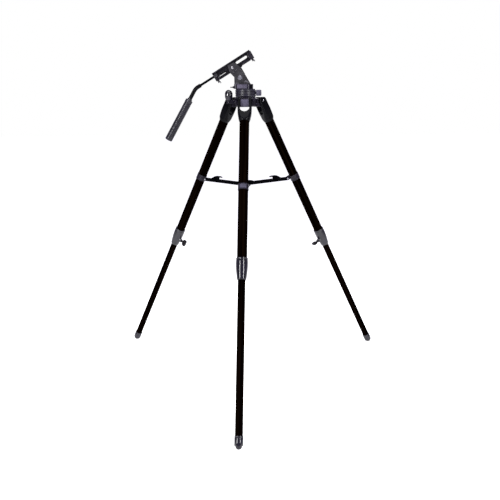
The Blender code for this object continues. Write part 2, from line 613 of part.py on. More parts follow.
def make_crown(root):
    """Crown casting with three lugs and one ear, and the clamp knob on the ear.

    Returns the height of the crown's top above the hinge pins.
    """
    crown_frame = empty("crown_frame", root, (0, 0, HINGE_HEIGHT))
    top = CROWN_BOTTOM + CROWN_HEIGHT
    edge = CROWN_EDGE
    body = turn([(0, CROWN_BOTTOM), (CROWN_R - edge, CROWN_BOTTOM), (CROWN_R, CROWN_BOTTOM + edge),
                 (CROWN_R, top - edge), (CROWN_R - edge, top), (0, top)])
    crown = piece("crown", body, crown_frame, "dark_casting")
    lug_low, lug_top = CROWN_BOTTOM - LUG_DROP, top - LUG_FALL
    root_x = CROWN_R * LUG_ROOT
    outline = [(root_x, lug_low), (LUG_REACH - edge, lug_low), (LUG_REACH, lug_low + edge),
               (LUG_REACH, lug_top - edge), (LUG_REACH - edge, lug_top), (root_x, lug_top)]
    for azimuth in LEG_AZIMUTHS.values():
        join(crown, prism(outline, -LUG_WIDTH / 2, LUG_WIDTH / 2), rotation=(0, 0, azimuth))
    ear_low = CROWN_BOTTOM + EAR_RISE
    ear_top = ear_low + EAR_HEIGHT
    at = (EAR_REACH * cos(EAR_AZIMUTH), EAR_REACH * sin(EAR_AZIMUTH), 0)
    join(crown, box((POCKET_R, -EAR_R, ear_low), (EAR_REACH, EAR_R, ear_top)),
         rotation=(0, 0, EAR_AZIMUTH))
    join(crown, rod(EAR_R, ear_low, ear_top), at)
    for azimuth in LEG_AZIMUTHS.values():
        pin = rod(HINGE_BOLT_D / 2 + GAP, -FORK_WIDTH, FORK_WIDTH)
        cut(crown, pin, (HINGE_RADIUS * cos(azimuth), HINGE_RADIUS * sin(azimuth), 0),
            (-pi / 2, 0, azimuth))
    cut(crown, rod(POCKET_R, CROWN_BOTTOM - FAR, CROWN_BOTTOM + POCKET_DEPTH))
    cut(crown, rod(CENTRE_BOLT_D / 2 + GAP, CROWN_BOTTOM, top + FAR))
    hole = ear_low + EAR_FLOOR
    cut(crown, rod(DOME_STUD_D / 2 + GAP, hole, ear_top + FAR), at)
    knob_frame = empty("crown_clamp_axis", crown_frame, at)
    base = ear_top + GAP
    high = base + DOME_HEIGHT
    stud = DOME_STUD_D / 2
    profile = [(0, hole + GAP), (stud, hole + GAP), (stud, base)]
    profile += [(DOME_R - inside, base + above) for inside, above in DOME_SKIRT]
    profile += arc((0, high - DOME_R), DOME_R, 0.0, pi / 2, DOME_STEPS)
    profile[-1] = (0.0, high)
    piece("crown_clamp_knob", turn(profile), knob_frame, "black_plastic")
    return top


def make_pan_base(root, crown_top):
    """Head plate, pan base, centre bolt and pan lock knob.

    Returns the height of the pan base's top.
    """
    plate_low = HINGE_HEIGHT + crown_top + GAP
    low = plate_low + HEAD_PLATE + GAP
    high = low + PAN_BASE_HEIGHT
    plate = rod(HEAD_PLATE_R, plate_low, plate_low + HEAD_PLATE, ROUND)
    plate_item = piece("head_plate", plate, root, "painted_grey")
    cut(plate_item, rod(CENTRE_BOLT_D / 2 + GAP, plate_low - FAR, plate_low + FAR))
    wide = PAN_BASE_R
    profile = [(0, low), (wide - PAN_BASE_FOOT, low), (wide, low + PAN_BASE_FOOT),
               (wide, high - PAN_BASE_RIM[1]), (wide - PAN_BASE_RIM[0], high), (0, high)]
    base = piece("pan_base", turn(profile, PAN_ROUND), root, "black_plastic")
    bolt_top = low + CENTRE_BOLT_DEPTH
    cut(base, rod(CENTRE_BOLT_D / 2 + GAP, low - FAR, bolt_top + GAP))
    cut(base, rod(SPIGOT_R + SLIDE_GAP, high - SPIGOT - GAP, high + FAR))
    pocket_top = HINGE_HEIGHT + CROWN_BOTTOM + POCKET_DEPTH - GAP
    head_low, head_r, shank = pocket_top - CENTRE_HEAD, CENTRE_HEAD_D / 2, CENTRE_BOLT_D / 2
    bolt = turn([(0, head_low), (head_r, head_low), (head_r, pocket_top), (shank, pocket_top),
                 (shank, bolt_top), (0, bolt_top)], 12)
    piece("centre_bolt", bolt, root, "bright_steel")
    level = low + PAN_BASE_HEIGHT / 2
    knob_frame = empty("pan_lock_axis", root, (0, 0, level))
    inner = wide - PAN_KNOB_DEPTH
    cut(base, rod(PAN_KNOB_STEM_D / 2 + GAP, inner, wide + FAR), (0, 0, level), TO_X)
    start = wide + PAN_KNOB_STEM
    end = start + PAN_KNOB_LENGTH - PAN_KNOB_CAP
    knob_r, stem = PAN_KNOB_D / 2, PAN_KNOB_STEM_D / 2
    edge, bevel = PAN_KNOB_EDGE
    knob = turn([(0, inner + GAP), (stem, inner + GAP), (stem, start), (knob_r - bevel, start),
                 (knob_r, start + bevel), (knob_r, end - bevel), (knob_r - edge, end), (0, end)])
    piece("pan_lock_knob", knob, knob_frame, "painted_grey", rotation=TO_X)
    return high


def make_turntable(pan):
    """Turntable, its end block, the tilt latch and the upright.

    Returns the middle of the tilt bolt in the pan frame.
    """
    left, right = TURNTABLE
    middle, half = (left + right) / 2, (right - left) / 2
    low, high = GAP, GAP + TURNTABLE_HEIGHT
    deck = loft([oval(half, TURNTABLE_DEPTH / 2, z, TURNTABLE_SQUARENESS) for z in (low, high)])
    bmesh.ops.transform(deck, matrix=Matrix.Translation((middle, 0, 0)), verts=deck.verts)
    table = piece("turntable", deck, pan, "painted_grey")
    join(table, rod(SPIGOT_R, low - SPIGOT, low + SPIGOT_ROOT))
    block_half = TURNTABLE_DEPTH * BLOCK_WIDTH / 2
    block = box((right + GAP, -block_half, low), (right + GAP + BLOCK_LENGTH, block_half, high))
    piece("turntable_block", block, pan, "black_plastic")
    latch_frame = empty("tilt_latch_axis", pan, (left, 0, low + TURNTABLE_HEIGHT * LATCH_LEVEL))
    hub = LATCH_LENGTH * LATCH_HUB
    latch = turn([(0, GAP), (LATCH_R, GAP), (LATCH_R, LATCH_RIM), (LATCH_R / 2, hub), (0, hub)],
                 SMALL)
    lever = piece("tilt_latch", latch, latch_frame, "black_plastic", rotation=TO_MINUS_X)
    thick, wide = (size / 2 for size in LATCH_BLADE)
    join(lever, box((-thick, -wide, hub / 2), (thick, wide, LATCH_LENGTH)), rotation=TO_MINUS_X)
    bottom = GAP - TILT_RISE
    edge_x, edge_z = UPRIGHT_EDGE
    shoulder = (edge_x * cos(CAMERA_TILT) - edge_z * sin(CAMERA_TILT),
                edge_x * sin(CAMERA_TILT) + edge_z * cos(CAMERA_TILT))
    foot = shoulder[0] + (shoulder[1] - bottom) * tan(CAMERA_TILT)
    outline = [(foot, bottom), (foot - UPRIGHT_TOE, bottom + UPRIGHT_TOE / tan(CAMERA_TILT)), shoulder]
    outline += arc((0, 0), UPRIGHT_R, radians(52), radians(172), 16)
    outline += [(-UPRIGHT_LEFT, 0.0), (-UPRIGHT_LEFT, bottom)]
    centre = (TILT_X, 0, high + TILT_RISE)
    upright = piece("upright", prism(outline, -UPRIGHT_DEPTH / 2, UPRIGHT_DEPTH / 2), pan,
                    "dark_casting", centre)
    cut(upright, rod(TILT_BOLT_D / 2 + GAP, -FAR, FAR), centre, TO_Y)
    return centre


def obround(span, level, height):
    """Outline of a long hole with round ends, from its two ends, its level and its height."""
    start, end = span
    radius = height / 2
    return (arc((end - radius, level), radius, -pi / 2, pi / 2, 6)
            + arc((start + radius, level), radius, pi / 2, 3 * pi / 2, 6))


def make_platform(tilt):
    """Slotted channel, end blocks with their clamp levers, and the camera screw."""
    left, right = PLATE_LEFT, PLATE_RIGHT
    under = PLATE_TOP - PLATE_THICKNESS
    half = UPRIGHT_DEPTH / 2
    plate = piece("platform", box((left, -PLATE_WIDTH / 2, under), (right, PLATE_WIDTH / 2, PLATE_TOP)),
                  tilt, "black_plastic")
    inner_left, inner_right = left + END_BLOCK + GAP, right - END_BLOCK - GAP
    web_top, low = under + PLATE_THICKNESS / 5, WEB_BOTTOM
    outline = [(inner_left, web_top), (inner_left, low), (CHEEK_SHOULDER, low),
               (CHEEK_SHOULDER + WEB_STEP, low - WEB_STEP), (WEB_STEP_END, low - WEB_STEP),
               (WEB_STEP_END, low), (inner_right, low), (inner_right, web_top)]
    for side in (-1, 1):
        near, far = sorted((side * half, side * (half - WEB_THICKNESS)))
        join(plate, prism(outline, near, far))
    cut(plate, prism(obround(FRONT_SLOT, SLOT_LEVEL, SLOT_HEIGHT), -FAR, FAR))
    for level in REAR_SLITS:
        cut(plate, prism(obround(REAR_SLIT, level, REAR_SLIT_HEIGHT), -FAR, 0))
    cut(plate, prism(obround(REAR_WINDOW, REAR_WINDOW_LEVEL, REAR_WINDOW_HEIGHT), 0, FAR))
    bore = rod(CAMERA_SCREW_D / 2 + GAP, under - PLATE_THICKNESS, PLATE_TOP + PLATE_THICKNESS)
    cut(plate, bore, (CAMERA_SCREW_X, 0, 0))
    dial_low, end = under - GAP - CAMERA_DIAL, PLATE_TOP - CAMERA_SCREW_SUNK
    shank = CAMERA_SCREW_D / 2
    screw = turn([(0, dial_low), (CAMERA_DIAL_R, dial_low), (CAMERA_DIAL_R, under - GAP),
                  (shank, under - GAP), (shank, end), (0, end)], 24)
    piece("camera_screw", screw, empty("camera_screw_axis", tilt, (CAMERA_SCREW_X, 0, 0)),
          "bright_steel")
    ends = {"rear": (left, left + END_BLOCK), "front": (right - END_BLOCK, right + BLOCK_OVERHANG)}
    for name, (start, end) in ends.items():
        block = piece("platform_block_" + name, box((start, -half, WEB_BOTTOM),
                                                    (end, half, under - GAP)), tilt, "black_plastic")
        if name == "rear":
            cut(block, rod(ROD_D / 2 + GAP, FAR, 3 * FAR), (0, 0, ROD_LEVEL), TO_MINUS_X)
        axis = empty("clamp_axis_" + name, tilt, ((start + end) / 2, 0, WEB_BOTTOM))
        stem = piece("clamp_lever_" + name, rod(CLAMP_STEM_R, -CLAMP_STEM, -GAP), axis,
                     "black_plastic")
        curve = [*CLAMP_TOP, *((x, -CLAMP_DROP) for x in CLAMP_TOE), *CLAMP_BACK]
        join(stem, prism(curve, -CLAMP_HALF_WIDTH, CLAMP_HALF_WIDTH))


def make_cheeks(tilt):
    """Two cheeks with their screws, the tilt bolt and its nut, and the rod clamp's boss."""
    inner = UPRIGHT_DEPTH / 2 + GAP
    outer = inner + CHEEK_THICKNESS
    top = PLATE_TOP - PLATE_THICKNESS - GAP
    head_left, head_right = CHEEK_HEAD
    for name, side, extra in (("front", -1, 0.0), ("rear", 1, REAR_CHEEK_EXTRA)):
        outline = arc((0, 0), CHEEK_R, radians(-180), radians(-20), 14)
        outline += [(CHEEK_R + extra, 0.0), (CHEEK_R + extra, WEB_BOTTOM),
                    (head_right + extra, top - CHEEK_HEAD_FALL), (head_left, top),
                    (CHEEK_SHOULDER, WEB_BOTTOM), CHEEK_NECK]
        near, far = sorted((side * inner, side * outer))
        cheek = piece("cheek_" + name, prism(outline, near, far), tilt, "painted_grey")
        cut(cheek, rod(TILT_BOLT_D / 2 + GAP, -FAR, FAR), rotation=TO_Y)
    face = outer + GAP
    shaft = TILT_BOLT_D / 2
    end = 2 * face + TILT_END
    bolt = turn([(0, TILT_HEAD[0][1]), *TILT_HEAD, (shaft, 0), (shaft, end), (0, end)], SMALL)
    piece("tilt_bolt", bolt, tilt, "bright_steel", (0, -face, 0), TO_Y)
    bore = shaft + GAP
    nut = turn([(bore, 0), (TILT_NUT_R, 0), (TILT_NUT_R, TILT_NUT), (bore, TILT_NUT)], 12)
    piece("tilt_nut", nut, tilt, "bright_steel", (0, face, 0), TO_Y)
    for index, (x, z, radius) in enumerate(SCREWS, 1):
        head = turn([(0, 0), (radius, 0), (radius, SCREW_HEAD * 0.6), (radius * 0.6, SCREW_HEAD),
                     (0, SCREW_HEAD)], SMALL)
        piece("cheek_screw_%d" % index, head, tilt, "dark_casting", (x, -face, z), (pi / 2, 0, 0))
    rim, high = BOSS
    boss = turn([(0, 0), (BOSS_R, 0), (BOSS_R, rim), (BOSS_R - BOSS_EDGE, high), (0, high)])
    piece("rod_clamp_boss", boss, tilt, "painted_grey", (BOSS_X, -inner, ROD_LEVEL), (pi / 2, 0, 0))


def sweep(points, radius, count=24):
    """Round bar through points in the XZ plane."""
    rings = []
    for index, (x, z) in enumerate(points):
        before, after = points[max(index - 1, 0)], points[min(index + 1, len(points) - 1)]
        slope = atan2(after[1] - before[1], after[0] - before[0])
        across = (-sin(slope), cos(slope))
        ring = []
        for step in range(count):
            angle = 2 * pi * step / count
            ring.append((x + radius * cos(angle) * across[0], radius * sin(angle),
                         z + radius * cos(angle) * across[1]))
        rings.append(ring)
    return loft(rings)


def make_handle(tilt):
    """Rod, bent sleeve and grip of the pan handle."""
    handle = empty("handle_axis", tilt, (0, 0, ROD_LEVEL))
    piece("handle_rod", rod(ROD_D / 2, -ROD_INNER, -SLEEVE_START - GAP, 24), handle, "bright_steel",
          rotation=TO_MINUS_X)
    tangent = BEND_RADIUS * tan(BEND_ANGLE / 2)
    bend_start = BEND_X + tangent
    collar = FERRULE_LENGTH / 3
    path = [(SLEEVE_START, 0.0), (SLEEVE_START - collar, 0.0)]
    path += arc((bend_start, -BEND_RADIUS), BEND_RADIUS, pi / 2, pi / 2 + BEND_ANGLE, 6)
    along = (-cos(BEND_ANGLE), -sin(BEND_ANGLE))
    for distance in (BEND_TO_GRIP - collar, BEND_TO_GRIP):
        path.append((BEND_X + distance * along[0], distance * along[1]))
    piece("handle_sleeve", sweep(path, HANDLE_SLEEVE_D / 2), handle, "black_plastic")
    start = BEND_TO_GRIP + GAP
    end = start + GRIP_LENGTH
    grip_r = GRIP_D / 2
    ferrule = start + FERRULE_LENGTH
    cap, bevel = GRIP_CAP
    grip = [(0, start), (FERRULE_R - FOOT_EDGE, start), (FERRULE_R, start + FOOT_EDGE),
            (FERRULE_R, ferrule)]
    grip += [(grip_r - inside, ferrule + beyond) for inside, beyond in GRIP_FLARE]
    grip += [(grip_r - GRIP_TAPER, start + GRIP_LENGTH / 2), (grip_r, end - cap),
             (grip_r, end - bevel), (grip_r - bevel, end), (0, end)]
    piece("handle_grip", turn(grip), handle, "rubber", (BEND_X, 0, 0),
          (0, -(pi / 2 + BEND_ANGLE), 0))


def main():
    """Build the whole tripod."""
    clear_scene()
    root = empty("tripod", None, (0, AXIS_Y, 0))
    make_legs(root)
    make_spreader_hub(root)
    crown_top = make_crown(root)
    base_top = make_pan_base(root, crown_top)
    pan = empty("pan_axis", root, (0, 0, base_top))
    centre = make_turntable(pan)
    tilt = empty("tilt_axis", pan, centre, (0, -CAMERA_TILT, 0))
    make_platform(tilt)
    make_cheeks(tilt)
    make_handle(tilt)


main()
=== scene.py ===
"""Looks of a film-camera tripod: telescopic legs, a spreader, a pan and tilt head and its handle.

Each sub-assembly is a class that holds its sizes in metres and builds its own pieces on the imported
frame.  Every piece is modelled in the frame of the part that carries it, so drawing lines, turning
marks and ribs follow that part.
"""

import json
import logging
from dataclasses import dataclass
from enum import Enum
from math import atan2, cos, hypot, pi, radians, sin, tan

import bmesh
import bpy
from mathutils import Matrix, Vector


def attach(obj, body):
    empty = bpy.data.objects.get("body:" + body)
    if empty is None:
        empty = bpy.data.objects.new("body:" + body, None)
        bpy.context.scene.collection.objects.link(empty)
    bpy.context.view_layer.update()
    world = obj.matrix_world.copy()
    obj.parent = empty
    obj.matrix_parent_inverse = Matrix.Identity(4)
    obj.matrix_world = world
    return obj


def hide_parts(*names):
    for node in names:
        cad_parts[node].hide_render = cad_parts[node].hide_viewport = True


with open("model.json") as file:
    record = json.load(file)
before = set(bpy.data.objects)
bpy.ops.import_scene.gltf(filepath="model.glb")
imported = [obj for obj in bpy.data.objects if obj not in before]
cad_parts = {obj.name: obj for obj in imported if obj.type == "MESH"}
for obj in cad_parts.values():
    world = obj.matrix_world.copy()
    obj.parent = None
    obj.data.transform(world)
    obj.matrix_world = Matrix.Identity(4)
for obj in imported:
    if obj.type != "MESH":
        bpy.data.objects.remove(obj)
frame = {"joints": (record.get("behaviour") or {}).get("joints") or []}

LOG = logging.getLogger("tripod")
MM = 0.001
FIT = 0.0003            # clearance of a fitting, on the radius or between two faces
OVER = 0.01             # how far a cutting tool runs past the face that it opens
THROUGH = 0.1           # farther than any part reaches from its own axis
SMOOTH_UNDER = radians(38)      # faces that meet at less are shaded as one
BEVEL_OVER = radians(40)        # edges sharper than this are rounded
SIDES = ("front", "left", "right")

Point = tuple[float, float]
Ring = list[tuple[float, float, float]]
Solid = bmesh.types.BMesh
Node = bpy.types.ShaderNode


class Slot(Enum):
    """Material slots of the record, one for each kind of finish."""

    TUBE = "black_anodised"
    PLASTIC = "black_plastic"
    GREY = "grey_casting"
    CASTING = "dark_casting"
    RUBBER = "rubber"
    BLACK_STEEL = "black_steel"
    BRIGHT_STEEL = "bright_steel"


class Marks(Enum):
    """How far the marks of making run along X, Y and Z of a piece, as shares of their pitch."""

    PEBBLED = (1.0, 1.0, 1.0)
    DRAWN = (1.0, 1.0, 0.015)
    TURNED = (0.04, 0.04, 1.0)


class Cut(Enum):
    """What one solid does to another."""

    AWAY = "DIFFERENCE"
    TOGETHER = "UNION"


@dataclass(frozen=True)
class Finish:
    """One real surface finish and what its making leaves to see.

    Attributes:
        name: Name of the material.
        slot: Slot of the record that it stands for; not used.
        base: Main colour, sRGB hex.
        tone: Colour that it drifts to over the surface, sRGB hex; on the drawn tube its streaks are
            also painted sheen.
        wear: Colour of rubbed edges, sRGB hex.
        worn: How much of an edge is rubbed, from 0 to 1.
        metallic: Share of bare metal.
        roughness: Middle roughness.
        spread: Roughness either side of the middle.
        marks: Direction of the marks of making.
        pitch_mm: Spacing of those marks.
        relief_mm: Depth of those marks.
        drift_mm: Size of the patches of tone.
        specular: Specular level of the shader.
        coat: Weight of a clear glossy skin.
    """

    name: str
    slot: Slot
    base: int
    tone: int
    wear: int
    worn: float
    metallic: float
    roughness: float
    spread: float
    marks: Marks
    pitch_mm: float
    relief_mm: float
    drift_mm: float
    specular: float = 0.5
    coat: float = 0.0

    def material(self) -> bpy.types.Material:
        """Make the material once and return it.

        Returns:
            The node material of this finish.
        """
        made = bpy.data.materials.get(self.name)
        if made is not None:
            return made
        made = bpy.data.materials.new(self.name)
        made.use_nodes = True
        tree = made.node_tree
        shader = tree.nodes["Principled BSDF"]
        place = add(tree, "ShaderNodeTexCoord").outputs["Object"]
        marks = tuple(share / (self.pitch_mm * MM) for share in self.marks.value)
        along = add(tree, "ShaderNodeMapping", {"Vector": place, "Scale": marks})
        grain = add(tree, "ShaderNodeTexNoise", {"Vector": along.outputs[0], "Scale": 1.0,
                                                 "Detail": 3.0})
        patches = tuple(share / (self.drift_mm * MM) for share in self.marks.value)
        spread = add(tree, "ShaderNodeMapping", {"Vector": place, "Scale": patches})
        cloud = add(tree, "ShaderNodeTexNoise", {"Vector": spread.outputs[0], "Scale": 1.0,
                                                 "Detail": 4.0})
        drift = add(tree, "ShaderNodeMapRange", {"Value": cloud.outputs[0], "From Min": 0.38,
                                                 "From Max": 0.64})
        # On the drawn tube, whose shine is off, these tone streaks are also painted sheen.
        colour = add(tree, "ShaderNodeMix", {"Factor": drift.outputs[0], "A": linear(self.base),
                                             "B": linear(self.tone)}, data_type="RGBA")
        edge = add(tree, "ShaderNodeNewGeometry").outputs["Pointiness"]
        ragged = add(tree, "ShaderNodeMath", {0: cloud.outputs[0], 1: 0.05, 2: edge},
                     operation="MULTIPLY_ADD")
        rubbed = add(tree, "ShaderNodeMapRange", {"Value": ragged.outputs[0], "From Min": 0.56,
                                                  "From Max": 0.66, "To Max": self.worn})
        face = add(tree, "ShaderNodeMix",
                   {"Factor": rubbed.outputs[0], "A": colour.outputs["Result"],
                                           "B": linear(self.wear)}, data_type="RGBA")
        gloss = add(tree, "ShaderNodeMapRange", {"Value": grain.outputs[0], "From Min": 0.3,
                                                 "From Max": 0.7,
                                                 "To Min": self.roughness - self.spread,
                                                 "To Max": self.roughness + self.spread})
        bump = add(tree, "ShaderNodeBump", {"Height": grain.outputs[0], "Strength": 1.0,
                                            "Distance": self.relief_mm * MM})
        tree.links.new(face.outputs["Result"], shader.inputs["Base Color"])
        tree.links.new(gloss.outputs[0], shader.inputs["Roughness"])
        tree.links.new(bump.outputs[0], shader.inputs["Normal"])
        shader.inputs["Metallic"].default_value = self.metallic
        shader.inputs["Specular IOR Level"].default_value = self.specular
        shader.inputs["Coat Weight"].default_value = self.coat
        return made


def add(tree: bpy.types.NodeTree, kind: str, feeds: dict | None = None, **settings: object) -> Node:
    """Add a node with its settings and links.

    Args:
        tree: Node tree that it goes into.
        kind: Blender's name of the node type.
        feeds: Value or source socket of each input, by the input's name or number.
        **settings: Properties of the node, set before its inputs are fed.

    Returns:
        The new node.
    """
    node = tree.nodes.new(kind)
    for name, value in settings.items():
        setattr(node, name, value)
    for key, value in (feeds or {}).items():
        live = [socket for socket in node.inputs if socket.enabled]
        socket = live[key] if isinstance(key, int) else next(s for s in live if s.name == key)
        if isinstance(value, bpy.types.NodeSocket):
            tree.links.new(value, socket)
        else:
            socket.default_value = value
    return node


def linear(hex_colour: int) -> tuple[float, float, float, float]:
    """Turn an sRGB hex colour into linear light with full alpha.

    Args:
        hex_colour: Colour as 0xRRGGBB.

    Returns:
        Red, green, blue and alpha.
    """
    shares = [(hex_colour >> shift & 255) / 255 for shift in (16, 8, 0)]
    light = [s / 12.92 if s <= 0.04045 else ((s + 0.055) / 1.055) ** 2.4 for s in shares]
    return (*light, 1.0)


# Drawn aluminium tube, anodised black, satin, with its own shine turned off: the faint brown-black
# streaks along the tube are partly its tone and partly painted sheen, standing in for the light
# along the flutes.
ANODISED_TUBE = Finish("anodised_aluminium_drawn", Slot.TUBE, 0x010000, 0x080402, 0x262220, 0.0,
                       0.0, 0.36, 0.07, Marks.DRAWN, 1.6, 0.02, 9.0, 0.0)
# Injection-moulded ABS with a polished tool: near black, a violet cast and sharp highlights.
GLOSSY_ABS = Finish("abs_moulded_glossy", Slot.PLASTIC, 0x08070D, 0x110F1A, 0x26232E, 0.0,
                    0.0, 0.09, 0.03, Marks.PEBBLED, 1.2, 0.005, 30.0, 0.42)
# The same ABS round the forks: near black, and its highlights are softer.
FORK_ABS = Finish("abs_moulded_half_gloss", Slot.PLASTIC, 0x020203, 0x07070B, 0x2E2B33, 0.0,
                  0.0, 0.22, 0.06, Marks.PEBBLED, 1.2, 0.012, 30.0, 0.05)
# The same ABS on the pan drum, a satin tool: dark violet with broad soft highlights.
DRUM_ABS = Finish("abs_moulded_violet_satin", Slot.PLASTIC, 0x13111A, 0x1D1A27, 0x34313E, 0.0,
                  0.0, 0.36, 0.07, Marks.PEBBLED, 1.0, 0.02, 26.0, 0.30)
# Injection-moulded ABS from a spark-eroded tool: fine leathery grain and a soft broad shine.
SATIN_ABS = Finish("abs_moulded_satin", Slot.PLASTIC, 0x060508, 0x100F13, 0x2E2B33, 0.3,
                   0.0, 0.36, 0.08, Marks.PEBBLED, 0.9, 0.04, 25.0, 0.07)
# Grey enamel sprayed on die-cast aluminium: cool violet grey with slight orange peel.
GREY_ENAMEL = Finish("enamel_grey_on_casting", Slot.GREY, 0x312F3D, 0x3B3949, 0x7C7984, 0.4,
                     0.0, 0.34, 0.07, Marks.PEBBLED, 1.8, 0.04, 22.0, 0.20)
# The same enamel in dark grey, as on the cheeks and the upright.
DARK_ENAMEL = Finish("enamel_dark_on_casting", Slot.CASTING, 0x1E1D20, 0x262528, 0x5A585E, 0.6,
                     0.0, 0.38, 0.08, Marks.PEBBLED, 1.8, 0.05, 26.0, 0.12)
# The same enamel in violet black, as on the crown and the turntable: darker, and glossier.
BLACK_ENAMEL = Finish("enamel_black_on_casting", Slot.CASTING, 0x0B0910, 0x15121C, 0x3E3A48, 0.6,
                      0.0, 0.24, 0.07, Marks.PEBBLED, 1.8, 0.03, 26.0, 0.14)
# The same enamel in dark slate, as on the faces of the lugs and the bracket's plate.
DEEP_ENAMEL = Finish("enamel_deep_slate_on_casting", Slot.GREY, 0x201E2A, 0x282634, 0x5C5868, 0.4,
                     0.0, 0.32, 0.07, Marks.PEBBLED, 1.8, 0.03, 22.0, 0.16)
# The same enamel in slate, as on the turntable's side panels.
SLATE_ENAMEL = Finish("enamel_slate_on_casting", Slot.GREY, 0x1E1B26, 0x282431, 0x55515F, 0.6,
                      0.0, 0.30, 0.07, Marks.PEBBLED, 1.8, 0.03, 26.0, 0.16)
# Moulded rubber: violet black, matt, with a faint bloom in patches.
RUBBER = Finish("rubber_moulded", Slot.RUBBER, 0x0B0A10, 0x16141D, 0x2E2A36, 0.3,
                0.0, 0.32, 0.08, Marks.PEBBLED, 0.8, 0.03, 18.0, 0.30)
# Steel strip and bar, blackened in hot oxide: blue black.
BLACKENED_STEEL = Finish("steel_blackened", Slot.BLACK_STEEL, 0x020203, 0x060608, 0x2C2B31, 0.0,
                         0.0, 0.32, 0.08, Marks.DRAWN, 1.0, 0.02, 20.0, 0.0)
# Turned steel, bright nickel plate: ring marks from the lathe and a clear shine.
NICKEL_STEEL = Finish("steel_turned_nickel", Slot.BRIGHT_STEEL, 0xA9A8AC, 0x8D8C92, 0xD8D7DA, 0.5,
                      1.0, 0.24, 0.06, Marks.TURNED, 0.35, 0.02, 8.0)
# The same steel left plain and dulled by handling, as on the small screws.
DULL_STEEL = Finish("steel_turned_dull", Slot.BRIGHT_STEEL, 0x4A494D, 0x3A393D, 0x8A898E, 0.4,
                    1.0, 0.38, 0.08, Marks.TURNED, 0.35, 0.02, 8.0)


# Solids -----------------------------------------------------------------------------------------

def loft(rings: list[Ring]) -> Solid:
    """Skin rings of equal numbers of points and close the two end rings.

    Args:
        rings: Rings of points, from one end to the other.

    Returns:
        The closed solid.
    """
    bm = bmesh.new()
    loops = [[bm.verts.new(point) for point in ring] for ring in rings]
    for low, high in zip(loops, loops[1:]):
        for index in range(len(low)):
            after = (index + 1) % len(low)
            bm.faces.new((low[index], low[after], high[after], high[index]))
    bm.faces.new(loops[0][::-1])
    bm.faces.new(loops[-1])
    return bm


def prism(outline: list[Point], near: float, far: float) -> Solid:
    """Stretch an outline of (x, z) points from y = near to y = far."""
    return loft([[(x, y, z) for x, z in outline] for y in (near, far)])


def block(low: Ring, high: Ring) -> Solid:
    """Make a box between two corners."""
    outline = [(low[0], low[2]), (high[0], low[2]), (high[0], high[2]), (low[0], high[2])]
    return prism(outline, low[1], high[1])


def turned(profile: list[Point], steps: int = 64) -> Solid:
    """Turn (radius, z) points about Z; a profile off the axis closes into a ring.

    Args:
        profile: Radius and height of each point.
        steps: Number of sides.

    Returns:
        The closed solid.
    """
    bm = bmesh.new()
    verts = [bm.verts.new((radius, 0.0, z)) for radius, z in profile]
    edges = [bm.edges.new(pair) for pair in zip(verts, verts[1:])]
    if profile[0][0] > 0.0:
        edges.append(bm.edges.new((verts[-1], verts[0])))
    bmesh.ops.spin(bm, geom=verts + edges, cent=(0, 0, 0), axis=(0, 0, 1), angle=2 * pi,
                   steps=steps, use_merge=True)
    bmesh.ops.remove_doubles(bm, verts=bm.verts, dist=1e-6)
    return bm


def bar(radius: float, low: float, high: float, steps: int = 40) -> Solid:
    """Make a plain round bar along Z, used to cut or join."""
    return turned([(0.0, low), (radius, low), (radius, high), (0.0, high)], steps)


def arc(centre: Point, radius: float, start: float, stop: float, count: int) -> list[Point]:
    """Give the points of a circular arc in a plane, ends included."""
    angles = [start + (stop - start) * index / count for index in range(count + 1)]
    return [(centre[0] + radius * cos(a), centre[1] + radius * sin(a)) for a in angles]


def oval(half_x: float, half_y: float, z: float, squareness: float, count: int = 64) -> Ring:
    """Make a ring about Z between an ellipse (2) and a rounded box (6 or more)."""
    ring = []
    for index in range(count):
        angle = 2 * pi * (index + 0.5) / count
        c, s = cos(angle), sin(angle)
        stretch = (abs(c) ** squareness + abs(s) ** squareness) ** (-1.0 / squareness)
        ring.append((half_x * c * stretch, half_y * s * stretch, z))
    return ring


def lobed(radius: float, depth: float, lobes: int, z: float, power: float = 1.0,
          count: int = 64) -> Ring:
    """Make a ring about Z whose radius swells by depth at each lobe."""
    ring = []
    for index in range(count):
        angle = 2 * pi * index / count
        reach = radius + depth * (0.5 + 0.5 * cos(lobes * angle)) ** power
        ring.append((reach * cos(angle), reach * sin(angle), z))
    return ring


def swept(points: list[Point], radius: float, count: int = 48) -> Solid:
    """Make a round bar through points of the XZ plane."""
    rings = []
    for index, (x, z) in enumerate(points):
        before, after = points[max(index - 1, 0)], points[min(index + 1, len(points) - 1)]
        slope = atan2(after[1] - before[1], after[0] - before[0])
        ring = []
        for step in range(count):
            angle = 2 * pi * step / count
            side = radius * cos(angle)
            ring.append((x - side * sin(slope), radius * sin(angle), z + side * cos(slope)))
        rings.append(ring)
    return loft(rings)


def moved(solid: Solid, at: Matrix) -> Solid:
    """Move a solid by a matrix and return it."""
    bmesh.ops.transform(solid, matrix=at, verts=solid.verts)
    return solid


def shaped(solid: Solid, modifiers: list[tuple[str, dict]]) -> Solid:
    """Run modifiers over a solid and keep what they make.

    Args:
        solid: The solid to start from; it is used up.
        modifiers: Type and settings of each modifier, in order.

    Returns:
        The solid after the last modifier.
    """
    bmesh.ops.recalc_face_normals(solid, faces=solid.faces)
    mesh = bpy.data.meshes.new("blank")
    solid.to_mesh(mesh)
    solid.free()
    blank = bpy.data.objects.new("blank", mesh)
    bpy.context.scene.collection.objects.link(blank)
    for kind, settings in modifiers:
        modifier = blank.modifiers.new(kind, kind)
        for name, value in settings.items():
            setattr(modifier, name, value)
    bpy.context.view_layer.update()
    result = bmesh.new()
    result.from_object(blank, bpy.context.evaluated_depsgraph_get())
    bpy.data.objects.remove(blank, do_unlink=True)
    bpy.data.meshes.remove(mesh)
    return result


